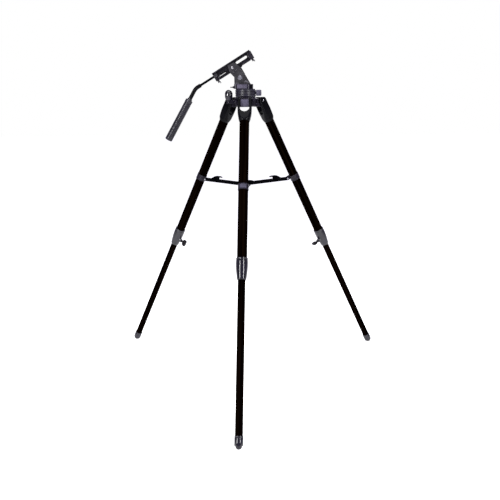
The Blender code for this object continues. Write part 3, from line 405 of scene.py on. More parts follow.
def combined(solid: Solid, how: Cut, *tools: Solid) -> Solid:
    """Cut tools away from a solid, or join them to it.

    Args:
        solid: The solid to work on.
        how: Whether the tools are cut away or joined.
        *tools: Solids in the same frame; they are used up.

    Returns:
        The new solid.
    """
    for tool in tools:
        bmesh.ops.recalc_face_normals(tool, faces=tool.faces)
        mesh = bpy.data.meshes.new("tool")
        tool.to_mesh(mesh)
        tool.free()
        cutter = bpy.data.objects.new("tool", mesh)
        bpy.context.scene.collection.objects.link(cutter)
        solid = shaped(solid, [("BOOLEAN", {"operation": how.value, "solver": "EXACT",
                                            "object": cutter})])
        bpy.data.objects.remove(cutter, do_unlink=True)
        bpy.data.meshes.remove(mesh)
    return solid


def cast(solid: Solid, grid: float, rounds: int) -> Solid:
    """Round a solid all over as a casting or moulding is, by remeshing and smoothing it.

    Args:
        solid: The sharp solid.
        grid: Size of the new faces.
        rounds: Smoothing passes, more for larger fillets.

    Returns:
        The rounded solid.
    """
    return shaped(solid, [("REMESH", {"mode": "VOXEL", "voxel_size": grid}),
                          ("SMOOTH", {"factor": 0.5, "iterations": rounds})])


def put(name: str, solid: Solid, at: Matrix, finish: Finish, body: str, *nodes: str,
        bevel: float = 0.0) -> bpy.types.Object:
    """Make a finished piece from a solid and hang it on its body of the frame.

    Args:
        name: Name of the piece.
        solid: The solid, in the frame of the part that carries it; it is used up.
        at: That frame, in the row frame.
        finish: Finish of the piece.
        body: Body of the frame that it rides on.
        *nodes: CAD nodes that it stands for.
        bevel: Width of the edge rounding, none where 0.

    Returns:
        The piece.
    """
    bmesh.ops.recalc_face_normals(solid, faces=solid.faces)
    mesh = bpy.data.meshes.new(name)
    solid.to_mesh(mesh)
    solid.free()
    mesh.materials.append(finish.material())
    mesh.shade_smooth()
    mesh.set_sharp_from_angle(angle=SMOOTH_UNDER)
    item = bpy.data.objects.new(name, mesh)
    bpy.context.scene.collection.objects.link(item)
    item.matrix_world = at
    if bevel:
        edge = item.modifiers.new("edge", "BEVEL")
        edge.width = bevel
        edge.segments = 3
        edge.limit_method = "ANGLE"
        edge.angle_limit = BEVEL_OVER
        edge.harden_normals = True
        edge.miter_outer = "MITER_ARC"
    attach(item, body)
    if nodes:
        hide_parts(*nodes)
    LOG.info("%s on %s, %d faces, %s", name, body, len(mesh.polygons), finish.name)
    return item


# Frames -----------------------------------------------------------------------------------------

TO_Y = Matrix.Rotation(-pi / 2, 4, "X")         # turns a piece made along Z to lie along +Y
TO_MINUS_Y = Matrix.Rotation(pi / 2, 4, "X")
TO_X = Matrix.Rotation(pi / 2, 4, "Y")
TO_MINUS_X = Matrix.Rotation(-pi / 2, 4, "Y")


def shift(x: float, y: float, z: float) -> Matrix:
    """Make a plain move."""
    return Matrix.Translation((x, y, z))


def joint(name: str) -> dict:
    """Find a joint of the record by its name."""
    return next(j for j in frame["joints"] if j["name"] == name)


def axes(origin: Vector, up: Vector, across: Vector) -> Matrix:
    """Make a frame from its origin, its Z axis and its Y axis."""
    z, y = up.normalized(), across.normalized()
    x = y.cross(z)
    return Matrix(((x.x, y.x, z.x, origin.x), (x.y, y.y, z.y, origin.y),
                   (x.z, y.z, z.z, origin.z), (0.0, 0.0, 0.0, 1.0)))


def leg_frame(side: str) -> Matrix:
    """Make a leg's frame: its origin on the hinge pin, Z up the leg, Y along the pin."""
    hinge = joint("fold_" + side)
    up = Vector(joint("extend_" + side)["axis"])
    return axes(Vector(hinge["pos_m"]), up, Vector(hinge["axis"]))


def upright_frame(name: str, azimuth: float = 0.0) -> Matrix:
    """Make a level frame at a joint, turned to an azimuth."""
    return Matrix.Translation(joint(name)["pos_m"]) @ Matrix.Rotation(azimuth, 4, "Z")


def cradle_frame() -> Matrix:
    """Make the platform's own frame, with the tilt axis as its Y."""
    tilt = joint("tilt")
    up = Vector(joint("camera_screw_turn")["axis"])
    return axes(Vector(tilt["pos_m"]), up, Vector(tilt["axis"]))


# Sub-assemblies ---------------------------------------------------------------------------------

@dataclass
class Leg:
    """A telescopic leg: forked top, fluted tube, bracket, clamping collar, lower tube and foot."""

    side: str
    lock_turn: float
    length: float = 1.3972
    tube_r: float = 0.02025
    tube_wall: float = 0.0015
    flutes: int = 16
    flute_depth: float = 0.0005
    lower_r: float = 0.0150
    guide_at: float = 0.600
    guide_length: float = 0.040
    fork_width: float = 0.0587
    fork_end: float = 0.098
    fork_end_r: float = 0.02175
    fork_throat: float = 0.0375
    fork_eye_r: float = 0.0185
    fork_top: float = 0.0150
    fork_socket: float = 0.026
    lug_width: float = 0.0400
    lean: float = radians(27.53)
    bolt_r: float = 0.004
    bracket_at: float = 0.385
    bracket_height: float = 0.026
    bracket_r: float = 0.0224
    pin_across: float = -0.03255
    pin_at: float = 0.379
    pin_r: float = 0.0025
    arm_offset: float = 0.0115
    arm_width: float = 0.006
    arm_height: float = 0.016
    collar_at: float = 0.679
    collar_length: float = 0.088
    collar_r: float = 0.0238
    collar_end_r: float = 0.0186
    lock_at: float = 0.733
    lock_reach: float = 0.0323
    lock_length: float = 0.025
    lock_span: float = 0.034
    lock_thickness: float = 0.0135
    lock_stud_r: float = 0.004
    foot_height: float = 0.048
    sleeve_r: float = 0.0175
    sleeve_length: float = 0.0368
    tip_r: float = 0.0125
    tip_flat: float = 0.0030

    def build(self) -> None:
        """Build every piece of the leg."""
        at = leg_frame(self.side)
        body, lower = "leg_" + self.side, "lower_" + self.side
        self.fork(at, body)
        self.upper_tube(at, body)
        self.bracket(at, body)
        self.collar(at, body)
        self.lock_knob(at)
        self.lower_tube(at, lower)
        self.foot(at, lower)

    def fork(self, at: Matrix, body: str) -> None:
        """Mould the forked top with its round throat, and turn the hinge pin and its buttons."""
        half, end = self.fork_width / 2, self.fork_end_r
        rings = []
        for step in range(7):
            angle = pi / 2 * (0.2 + 0.8 * step / 6)
            rings.append(oval(self.fork_eye_r * sin(angle), half, self.fork_eye_r * cos(angle), 9))
        for share, beyond, width, squareness in (
                (0.20, -0.00175, 1.0, 9), (0.45, -0.00075, 1.0, 8), (0.62, 0.00025, 0.975, 5.5),
                (0.72, 0.00105, 0.92, 4.5), (0.80, 0.00175, 0.87, 4), (0.88, 0.0020, 0.835, 3.2),
                (0.94, 0.00175, 0.775, 2.4)):
            rings.append(oval(self.tube_r + beyond, half * width, -self.fork_end * share,
                              squareness))
        rings.append(oval(end, end, -self.fork_end + 0.002, 2))
        rings.append(oval(end - 0.001, end - 0.001, -self.fork_end, 2))
        gap = self.lug_width / 2 + 0.0005
        throat = [(gap, 0.05)] + arc((0, -self.fork_throat), gap, 0, -pi, 28) + [(-gap, 0.05)]
        slot = moved(prism(throat, -0.06, 0.06), Matrix.Rotation(pi / 2, 4, "Z"))
        level = moved(block((-0.05, -0.05, self.fork_top), (0.05, 0.05, 0.05)),
                      Matrix.Rotation(self.lean, 4, "Y"))
        socket = bar(self.tube_r + FIT, -0.2, self.fork_socket - self.fork_end, 64)
        hole = moved(bar(self.bolt_r + FIT, -0.06, 0.06), TO_Y)
        fork = cast(combined(loft(rings), Cut.AWAY, slot, level), 0.0009, 14)
        fork = combined(fork, Cut.AWAY, socket, hole)
        put("fork_moulding_" + self.side, fork, at, FORK_ABS, body, "fork_" + self.side)
        length = self.fork_width + 0.0006
        head, r = 0.006, self.bolt_r
        profile = [(0, -0.0016), (0.0030, -0.0016), (0.0032, -0.0030), (head - 0.0012, -0.0030),
                   (head, -0.0018), (head, 0), (r, 0), (r, length), (head, length),
                   (head, length + 0.0018), (head - 0.0012, length + 0.0030),
                   (0.0032, length + 0.0030), (0.0030, length + 0.0016), (0, length + 0.0016)]
        level_at = Matrix.Translation(at.translation) @ self.level(at)
        place = level_at @ shift(0, -length / 2, 0) @ TO_Y
        put("hinge_pin_" + self.side, turned(profile, 32), place, BLACKENED_STEEL, "root",
            "hinge_bolt_" + self.side)
        for end, low in (("near", -0.0026), ("far", length + 0.0017)):
            button = turned([(0, low), (0.0022, low), (0.0027, low + 0.0003),
                             (0.0027, low + 0.0009),
                             (0, low + 0.0009)], 32)
            put("hinge_pin_%s_%s" % (end, self.side), button, place, NICKEL_STEEL, "root")

    @staticmethod
    def level(at: Matrix) -> Matrix:
        """Make the level rotation that shares a leg frame's Y axis."""
        y = at.to_3x3().col[1]
        return Matrix.Rotation(atan2(-y.x, y.y), 4, "Z")

    def fluted(self, radius: float, z: float) -> Ring:
        """Make a ring of the fluted tube."""
        steps = self.flutes * 8
        ring = []
        for index in range(steps):
            angle = 2 * pi * index / steps
            dip = self.flute_depth * (0.5 + 0.5 * cos(self.flutes * angle)) ** 3
            ring.append(((radius - dip) * cos(angle), (radius - dip) * sin(angle), z))
        return ring

    def upper_tube(self, at: Matrix, body: str) -> None:
        """Draw the fluted upper tube."""
        top = self.fork_socket - self.fork_end - FIT
        bottom = -(self.collar_at + self.collar_length - 0.022)
        count = 12
        heights = [bottom + (top - bottom) * index / count for index in range(count + 1)]
        tube = loft([self.fluted(self.tube_r, z) for z in heights])
        bore = bar(self.tube_r - self.tube_wall, bottom - OVER, top + OVER, 64)
        tube = combined(tube, Cut.AWAY, bore)
        put("upper_tube_fluted_" + self.side, tube, at, ANODISED_TUBE, body,
            "upper_tube_" + self.side)

    def lower_tube(self, at: Matrix, body: str) -> None:
        """Draw the plain lower tube with the guide at its head."""
        guide = self.tube_r - self.tube_wall - 0.0005
        inner, wall = self.lower_r, self.tube_wall
        low = -(self.length - self.foot_height + self.sleeve_length - 0.0063)
        end = -self.guide_at - self.guide_length
        profile = [(guide - 0.0008, -self.guide_at), (guide, -self.guide_at - 0.0008),
                   (guide, end + 0.0008), (guide - 0.0008, end), (inner, end), (inner, low),
                   (inner - wall, low), (inner - wall, -self.guide_at)]
        put("lower_tube_drawn_" + self.side, turned(profile), at, ANODISED_TUBE, body,
            "lower_tube_" + self.side)

    def bracket(self, at: Matrix, body: str) -> None:
        """Cast the spreader's bracket: a rimmed band, two ears and the pin through them."""
        low = -self.bracket_at - self.bracket_height / 2
        high = low + self.bracket_height
        rim, band = self.bracket_r, self.bracket_r - 0.0007
        lip = 0.0034
        profile = [(rim - 0.0006, low), (rim, low + 0.0006), (rim, low + lip),
                   (band, low + lip + 0.0008),
                   (band, high - lip - 0.0008), (rim, high - lip), (rim, high - 0.0006),
                   (rim - 0.0006, high), (0.0, high)]
        solid = turned([(0.0, low)] + profile)
        eye = self.arm_height / 2 - 0.0005
        outline = [(0.0, eye - self.pin_at)]
        outline += arc((self.pin_across, -self.pin_at), eye, pi / 2, 3 * pi / 2, 20)
        outline.append((0.0, -self.pin_at - eye))
        inside = self.arm_width / 2 + 0.0010
        ears = []
        for side in (-1, 1):
            near, far = sorted((self.arm_offset + side * inside,
                                self.arm_offset + side * (inside + 0.003)))
            ears.append(prism(outline, near, far))
        solid = combined(solid, Cut.TOGETHER, *ears)
        reach = inside + 0.0033
        pin_at = shift(self.pin_across, self.arm_offset - reach, -self.pin_at) @ TO_Y
        hole = moved(bar(self.pin_r + FIT, -OVER, 2 * reach + OVER, 32), pin_at)
        solid = combined(solid, Cut.AWAY, bar(self.tube_r + FIT, low - OVER, high + OVER, 64), hole)
        put("bracket_band_" + self.side, solid, at, BLACK_ENAMEL, body,
            "spreader_bracket_" + self.side,
            bevel=0.0004)
        head, r = self.pin_r + 0.0015, self.pin_r
        profile = [(0, -0.0012), (head - 0.001, -0.0012), (head, -0.0004), (head, 0), (r, 0),
                   (r, 2 * reach), (head, 2 * reach), (head, 2 * reach + 0.0004),
                   (head - 0.001, 2 * reach + 0.0012), (0, 2 * reach + 0.0012)]
        put("bracket_rivet_" + self.side, turned(profile, 32), at @ pin_at, NICKEL_STEEL, body,
            "spreader_pin_" + self.side)
        plate = self.label_plate(low + lip + 0.0012, high - lip - 0.0012, band)
        put("bracket_plate_" + self.side, plate, at, DEEP_ENAMEL, body)

    @staticmethod
    def label_plate(low: float, high: float, radius: float) -> Solid:
        """Make the grey strip let into the outer side of the band."""
        spread = radians(38)
        outer, inner = radius + 0.0003, radius - 0.0004
        face = [(outer * cos(a), outer * sin(a)) for a in
                (spread * (2 * i / 16 - 1) for i in range(17))]
        back = [(inner * cos(a), inner * sin(a)) for a in
                (spread * (1 - 2 * i / 16) for i in range(17))]
        return loft([[(x, y, z) for x, y in face + back] for z in (low, high)])

    def collar(self, at: Matrix, body: str) -> None:
        """Mould the clamping collar, with a rolled rim, a waist groove and the lock's boss."""
        top, wide, end = -self.collar_at, self.collar_r, self.collar_end_r
        bottom = top - self.collar_length
        bore, neck = self.tube_r + FIT, self.lower_r + 0.0005
        step = bottom + 0.022 - FIT
        profile = [(wide - 0.0012, top), (wide, top - 0.0012), (wide + 0.0004, top - 0.0050),
                   (wide, top - 0.0062), (wide - 0.0008, top - 0.0070),
                   (wide - 0.0008, top - 0.0080),
                   (wide, top - 0.0088)]
        for share, radius in ((0.22, wide + 0.0006), (0.35, wide + 0.0004), (0.47, wide),
                              (0.55, wide - 0.0004), (0.63, wide - 0.0010), (0.76, wide - 0.0026)):
            profile.append((radius, top - self.collar_length * share))
        profile += [(end + 0.0015, bottom + 0.010), (end + 0.0008, bottom + 0.0060),
                    (end + 0.0002, bottom + 0.0012), (end - 0.0008, bottom), (neck, bottom),
                    (neck, step), (bore, step), (bore, top)]
        lock = shift(0, 0, -self.lock_at) @ TO_MINUS_X
        boss = moved(turned([(0, bore + 0.0006), (0.0092, bore + 0.0006),
                             (0.0080, self.lock_reach - 0.001),
                             (0.0072, self.lock_reach), (0, self.lock_reach)], 48), lock)
        solid = combined(turned(profile), Cut.TOGETHER, boss)
        hole = moved(bar(self.lock_stud_r + FIT, bore + 0.0035, 0.06), lock)
        solid = combined(solid, Cut.AWAY, hole)
        put("collar_moulding_" + self.side, solid, at, GLOSSY_ABS, body, "collar_" + self.side,
            bevel=0.0005)

    def lock_knob(self, at: Matrix) -> None:
        """Mould the winged lock knob on its stud."""
        start = self.lock_reach + FIT
        neck, thick, wing = self.lock_stud_r * 1.2, self.lock_thickness / 2, self.lock_span / 2
        length = self.lock_length
        rings = [lobed(neck - 0.0006, 0.0, 2, 0.0), lobed(neck, 0.0, 2, 0.0006),
                 lobed(neck, 0.0, 2, length * 0.20)]
        for share, reach in ((0.27, 0.55), (0.34, 0.85), (0.46, 0.96), (0.60, 1.0), (0.78, 0.99),
                             (0.92, 0.95), (0.97, 0.90), (1.0, 0.80)):
            rings.append(lobed(thick * min(1.0, reach + 0.1), wing * reach - thick, 2,
                               length * share, 2.0))
        stud = bar(self.lock_stud_r, self.tube_r + 0.0041 - start, 0.004, 32)
        knob = combined(loft(rings), Cut.TOGETHER, stud)
        turn = Matrix.Rotation(self.lock_turn, 4, "X")
        place = at @ shift(0, 0, -self.lock_at) @ turn @ shift(-start, 0, 0) @ TO_MINUS_X
        put("lock_wing_" + self.side, knob, place, SATIN_ABS, "lock_" + self.side,
            "lock_knob_" + self.side, bevel=0.0006)

    def foot(self, at: Matrix, body: str) -> None:
        """Mould the foot: a glossy sleeve on the tube and a grooved rubber tip."""
        tube, floor = self.lower_r + FIT, -self.length
        top = floor + self.foot_height
        shelf = top - self.sleeve_length
        sleeve = self.sleeve_r
        profile = [(0.0, shelf + 0.006), (tube, shelf + 0.006), (tube, top), (sleeve - 0.0015, top),
                   (sleeve - 0.0004, top - 0.0004), (sleeve, top - 0.0015), (sleeve, top - 0.0040),
                   (sleeve - 0.0006, top - 0.0048), (sleeve - 0.0006, top - 0.0056),
                   (sleeve, top - 0.0064), (sleeve, shelf + 0.0015),
                   (sleeve - 0.0004, shelf + 0.0004),
                   (sleeve - 0.0015, shelf), (0.0, shelf)]
        put("foot_sleeve_" + self.side, turned(profile), at, GLOSSY_ABS, body, "foot_" + self.side)
        centre = floor + (self.tip_r - self.tip_flat) / cos(self.lean)
        tip = [(0.0, shelf - 0.0001)]
        level = shelf - 0.0001
        while level > centre + 0.0012:
            tip += [(self.tip_r, level), (self.tip_r, level - 0.0014),
                    (self.tip_r - 0.0005, level - 0.0018)]
            level -= 0.0022
            tip.append((self.tip_r - 0.0005, level + 0.0002))
        tip += arc((0.0, centre), self.tip_r, 0.0, -pi / 2, 18)
        bm = turned(tip)
        down = Vector((-sin(self.lean), 0, -cos(self.lean)))
        everything = bm.verts[:] + bm.edges[:] + bm.faces[:]
        sliced = bmesh.ops.bisect_plane(bm, geom=everything, plane_co=(0, 0, floor), plane_no=down,
                                        clear_outer=True)
        rim = [item for item in sliced["geom_cut"] if isinstance(item, bmesh.types.BMEdge)]
        bmesh.ops.edgeloop_fill(bm, edges=rim)
        put("foot_tip_" + self.side, bm, at, RUBBER, body)


@dataclass
class Spreader:
    """The three notched arms of the spreader and the hub that slides on the pan axis."""

    hub_pin_radius: float = 0.025
    hub_drop: float = 0.008
    arm_offset: float = 0.0115
    arm_width: float = 0.006
    arm_height: float = 0.016
    pin_r: float = 0.0025
    hook_from: float = 0.030
    hook_length: float = 0.062
    hook_rise: float = 0.014
    plate: float = 0.004
    rise: float = 0.0012
    notch: float = 0.0035

    def build(self) -> None:
        """Build the arms and the hub."""
        centre = Vector(joint("pan")["pos_m"])
        turns = {}
        for side in SIDES:
            pin = Vector(joint("arm_swing_" + side)["pos_m"])
            turns[side] = atan2(pin.y - centre.y, pin.x - centre.x)
            self.arm(side, hypot(pin.x - centre.x, pin.y - centre.y), turns[side])
        low = Vector(joint("arm_swing_front")["pos_m"]).z - self.hub_drop
        self.hub(shift(centre.x, centre.y, low), list(turns.values()))

    def arm(self, side: str, radius: float, azimuth: float) -> None:
        """Press one arm with its catch horn, a stiffening bead and its eyes."""
        half, rise, hook = self.arm_height / 2, self.hook_rise, self.hook_length
        run = radius - self.hub_pin_radius
        length = hypot(run, self.hub_drop)
        root = -self.hook_from
        body = arc((0, 0), half, -pi / 2, pi / 2, 20)
        body += [(root, half), (root - 0.08 * hook, half + 0.10 * rise),
                 (root - 0.16 * hook, half + 0.30 * rise), (root - 0.26 * hook, half + 0.57 * rise),
                 (root - 0.36 * hook, half + 0.78 * rise), (root - 0.46 * hook, half + 0.93 * rise),
                 (root - 0.56 * hook, half + rise), (root - 0.82 * hook, half + rise),
                 (root - hook, half + 0.85 * rise), (root - hook, half + 0.55 * rise),
                 (root - 0.82 * hook, half + 0.60 * rise), (root - 0.77 * hook, half + 0.52 * rise),
                 (root - 0.74 * hook, half + 0.40 * rise), (root - 0.73 * hook, half)]
        body += arc((-length, 0), half, pi / 2, 3 * pi / 2, 20)
        near, far = self.arm_offset - self.arm_width / 2, self.arm_offset + self.arm_width / 2
        blade = prism(body, near, far)
        channel = 0.0030
        groove = arc((-0.020, 0), channel, -pi / 2, pi / 2, 10)
        groove += arc((0.020 - length, 0), channel, pi / 2, 3 * pi / 2, 10)
        beads = [prism(groove, near - OVER, near + 0.0012), prism(groove, far - 0.0012, far + OVER)]
        holes = [moved(bar(self.pin_r + FIT, -0.05, 0.05, 32), shift(x, 0, 0) @ TO_Y)
                 for x in (0.0, -length)]
        blade = combined(blade, Cut.AWAY, *beads, *holes)
        slope = Matrix.Rotation(-atan2(self.hub_drop, run), 4, "Y")
        put("spreader_blade_" + side, blade, upright_frame("arm_swing_" + side, azimuth) @ slope,
            BLACKENED_STEEL, "arm_" + side, "spreader_arm_" + side, bevel=0.0006)

    def hub(self, at: Matrix, azimuths: list[float]) -> None:
        """Press the hub: a notched plate with ears turned down on both sides of each arm."""
        under = self.arm_height / 2 + self.rise
        plate_r = self.hub_pin_radius + 0.005
        inside = self.arm_width / 2 + 0.0010
        notch, eye = inside + 0.0004, self.arm_height / 2 - 0.0005
        plate = bar(plate_r, under, under + self.plate, 72)
        start = self.hub_pin_radius - self.arm_height / 2 - self.notch
        for azimuth in azimuths:
            tool = block((start, self.arm_offset - notch, under - OVER),
                         (0.06, self.arm_offset + notch, under + OVER))
            plate = combined(plate, Cut.AWAY, moved(tool, Matrix.Rotation(azimuth, 4, "Z")))
        for azimuth in azimuths:
            top = under + self.plate * 0.8
            outline = [(self.hub_pin_radius + eye, top), (self.hub_pin_radius - eye, top)]
            outline += arc((self.hub_pin_radius, 0), eye, pi, 2 * pi, 20)
            for side in (-1, 1):
                ends = (self.arm_offset + side * inside, self.arm_offset + side * (inside + 0.003))
                ear = prism(outline, min(ends), max(ends))
                plate = combined(plate, Cut.TOGETHER, moved(ear, Matrix.Rotation(azimuth, 4, "Z")))
        cap = turned([(0, under + self.plate - 0.002), (0.0095, under + self.plate - 0.002),
                      (0.0095, under + self.plate), (0, under + self.plate)], 48)
        plate = combined(plate, Cut.AWAY, moved(cap, shift(0, 0, 0.0012)))
        put("spreader_hub_plate", plate, at, BLACKENED_STEEL, "hub", "spreader_hub", bevel=0.0004)


@dataclass
class Crown:
    """The casting that joins the legs, with its lug faces, clamp knob, plate and centre bolt."""

    radius: float = 0.047
    bottom: float = -0.0242
    height: float = 0.0345
    lug_reach: float = 0.080
    lug_drop: float = 0.0025
    lug_fall: float = 0.0020
    lug_width: float = 0.0400
    face_width: float = 0.0344
    face_depth: float = 0.0006
    bolt_r: float = 0.004
    pocket_r: float = 0.014
    pocket_depth: float = 0.016
    centre_bolt_r: float = 0.00475
    ear_azimuth: float = radians(191)
    ear_reach: float = 0.073
    ear_r: float = 0.009
    ear_height: float = 0.015
    dome_r: float = 0.0165
    dome_height: float = 0.043
    stud_r: float = 0.004
    plate_r: float = 0.043
    plate: float = 0.0045

    def build(self) -> None:
        """Build every piece of the crown."""
        hinge = Vector(joint("fold_front")["pos_m"])
        axis = Vector(joint("pan")["pos_m"])
        at = shift(axis.x, axis.y, hinge.z)
        azimuths = {side: atan2(*(Vector(joint("fold_" + side)["pos_m"]) - axis).yx)
                    for side in SIDES}
        self.casting(at, azimuths, hypot(hinge.x - axis.x, hinge.y - axis.y))
        self.clamp_knob(at)
        self.centre(at)

    def casting(self, at: Matrix, azimuths: dict[str, float], hinge_r: float) -> None:
        """Cast the crown with its three lugs and one ear, and let a grey face into each lug."""
        low, top, edge = self.bottom, self.bottom + self.height, 0.002
        body = turned([(0, low), (self.radius - edge, low), (self.radius, low + edge),
                       (self.radius, top - edge), (self.radius - edge, top), (0, top)], 96)
        lug_low, lug_top, reach = low - self.lug_drop, top - self.lug_fall, self.lug_reach
        lugs, pins = [], []
        for azimuth in azimuths.values():
            turn = Matrix.Rotation(azimuth, 4, "Z")
            lug = block((self.radius * 0.65, -self.lug_width / 2, lug_low),
                        (reach, self.lug_width / 2, lug_top))
            lugs.append(moved(lug, turn))
            pins.append(moved(bar(self.bolt_r + FIT, -0.06, 0.06),
                              turn @ shift(hinge_r, 0, 0) @ TO_Y))
        ear_top = low + self.ear_height + 0.011
        turn = Matrix.Rotation(self.ear_azimuth, 4, "Z")
        ear = moved(block((0.01, -self.ear_r, ear_top - self.ear_height),
                          (self.ear_reach, self.ear_r, ear_top)), turn)
        eye = moved(bar(self.ear_r, ear_top - self.ear_height, ear_top),
                    turn @ shift(self.ear_reach, 0, 0))
        body = cast(combined(body, Cut.TOGETHER, *lugs, ear, eye), 0.0011, 5)
        pocket = bar(self.pocket_r, low - OVER, low + self.pocket_depth, 64)
        bore = bar(self.centre_bolt_r + FIT, low, top + OVER)
        hole = moved(bar(self.stud_r + FIT, ear_top - self.ear_height + 0.003, ear_top + OVER),
                     turn @ shift(self.ear_reach, 0, 0))
        recesses = []
        half = self.face_width / 2
        face_low, face_high = lug_low + 0.0012, lug_top - 0.0030
        for azimuth in azimuths.values():
            tool = block((reach - self.face_depth, -half, face_low),
                         (reach + OVER, half, face_high))
            recesses.append(moved(tool, Matrix.Rotation(azimuth, 4, "Z")))
        body = combined(body, Cut.AWAY, pocket, bore, hole, *pins, *recesses)
        put("crown_casting", body, at, BLACK_ENAMEL, "root", "crown")
        for side, azimuth in azimuths.items():
            plate = block((reach - self.face_depth + 0.0001, -half + 0.0002, face_low + 0.0002),
                          (reach - 0.0001, half - 0.0002, face_high - 0.0002))
            put("crown_lug_face_" + side, plate, at @ Matrix.Rotation(azimuth, 4, "Z"), DEEP_ENAMEL,
                "root", bevel=0.0002)

    def clamp_knob(self, at: Matrix) -> None:
        """Mould the domed clamp knob with grip flutes round its skirt."""
        ear_top = self.bottom + self.ear_height + 0.011
        hole = ear_top - self.ear_height + 0.003
        base = ear_top + FIT
        r, high, stud = self.dome_r, ear_top + FIT + self.dome_height, self.stud_r
        rings = [lobed(r - inset, swell, 12, base + rise, 0.7, 96) for inset, swell, rise in (
            (0.0042, 0.0007, 0.0), (0.0035, 0.0007, 0.001), (0.0030, 0.0010, 0.006),
            (0.0016, 0.0012, 0.011), (0.0004, 0.0004, 0.0135))]
        for index in range(15):
            angle = pi / 2 * index / 14.4
            rings.append(lobed(r * cos(angle), 0.0, 12, high - r + r * sin(angle), 1.0, 96))
        knob = combined(loft(rings), Cut.TOGETHER, bar(stud, hole + FIT, base + 0.002, 32))
        axis = Vector(joint("crown_clamp_turn")["pos_m"])
        place = shift(axis.x, axis.y, at.translation.z)
        put("crown_clamp_dome", knob, place, GLOSSY_ABS, "crown_clamp", "crown_clamp_knob")

    def centre(self, at: Matrix) -> None:
        """Turn the head plate and the centre bolt with its hexagon socket."""
        low = self.bottom + self.height + FIT
        r, bore = self.plate_r, self.centre_bolt_r + FIT
        high = low + self.plate
        plate = turned([(bore, low), (r - 0.0006, low), (r, low + 0.0006), (r, high - 0.0016),
                        (r - 0.0008, high - 0.0006), (r - 0.0014, high), (bore, high)], 96)
        put("head_plate_disc", plate, at, BLACK_ENAMEL, "root", "head_plate")
        top = self.bottom + self.pocket_depth - FIT
        end = high + FIT + 0.012
        bolt = turned([(0, top - 0.007), (0.0082, top - 0.007), (0.009, top - 0.0062), (0.009, top),
                       (self.centre_bolt_r, top), (self.centre_bolt_r, end), (0, end)], 48)
        socket = turned([(0, top - OVER), (0.0042, top - OVER), (0.0042, top - 0.0035),
                         (0, top - 0.0035)], 6)
        put("centre_bolt_socketed", combined(bolt, Cut.AWAY, socket), at, NICKEL_STEEL, "root",
            "centre_bolt")


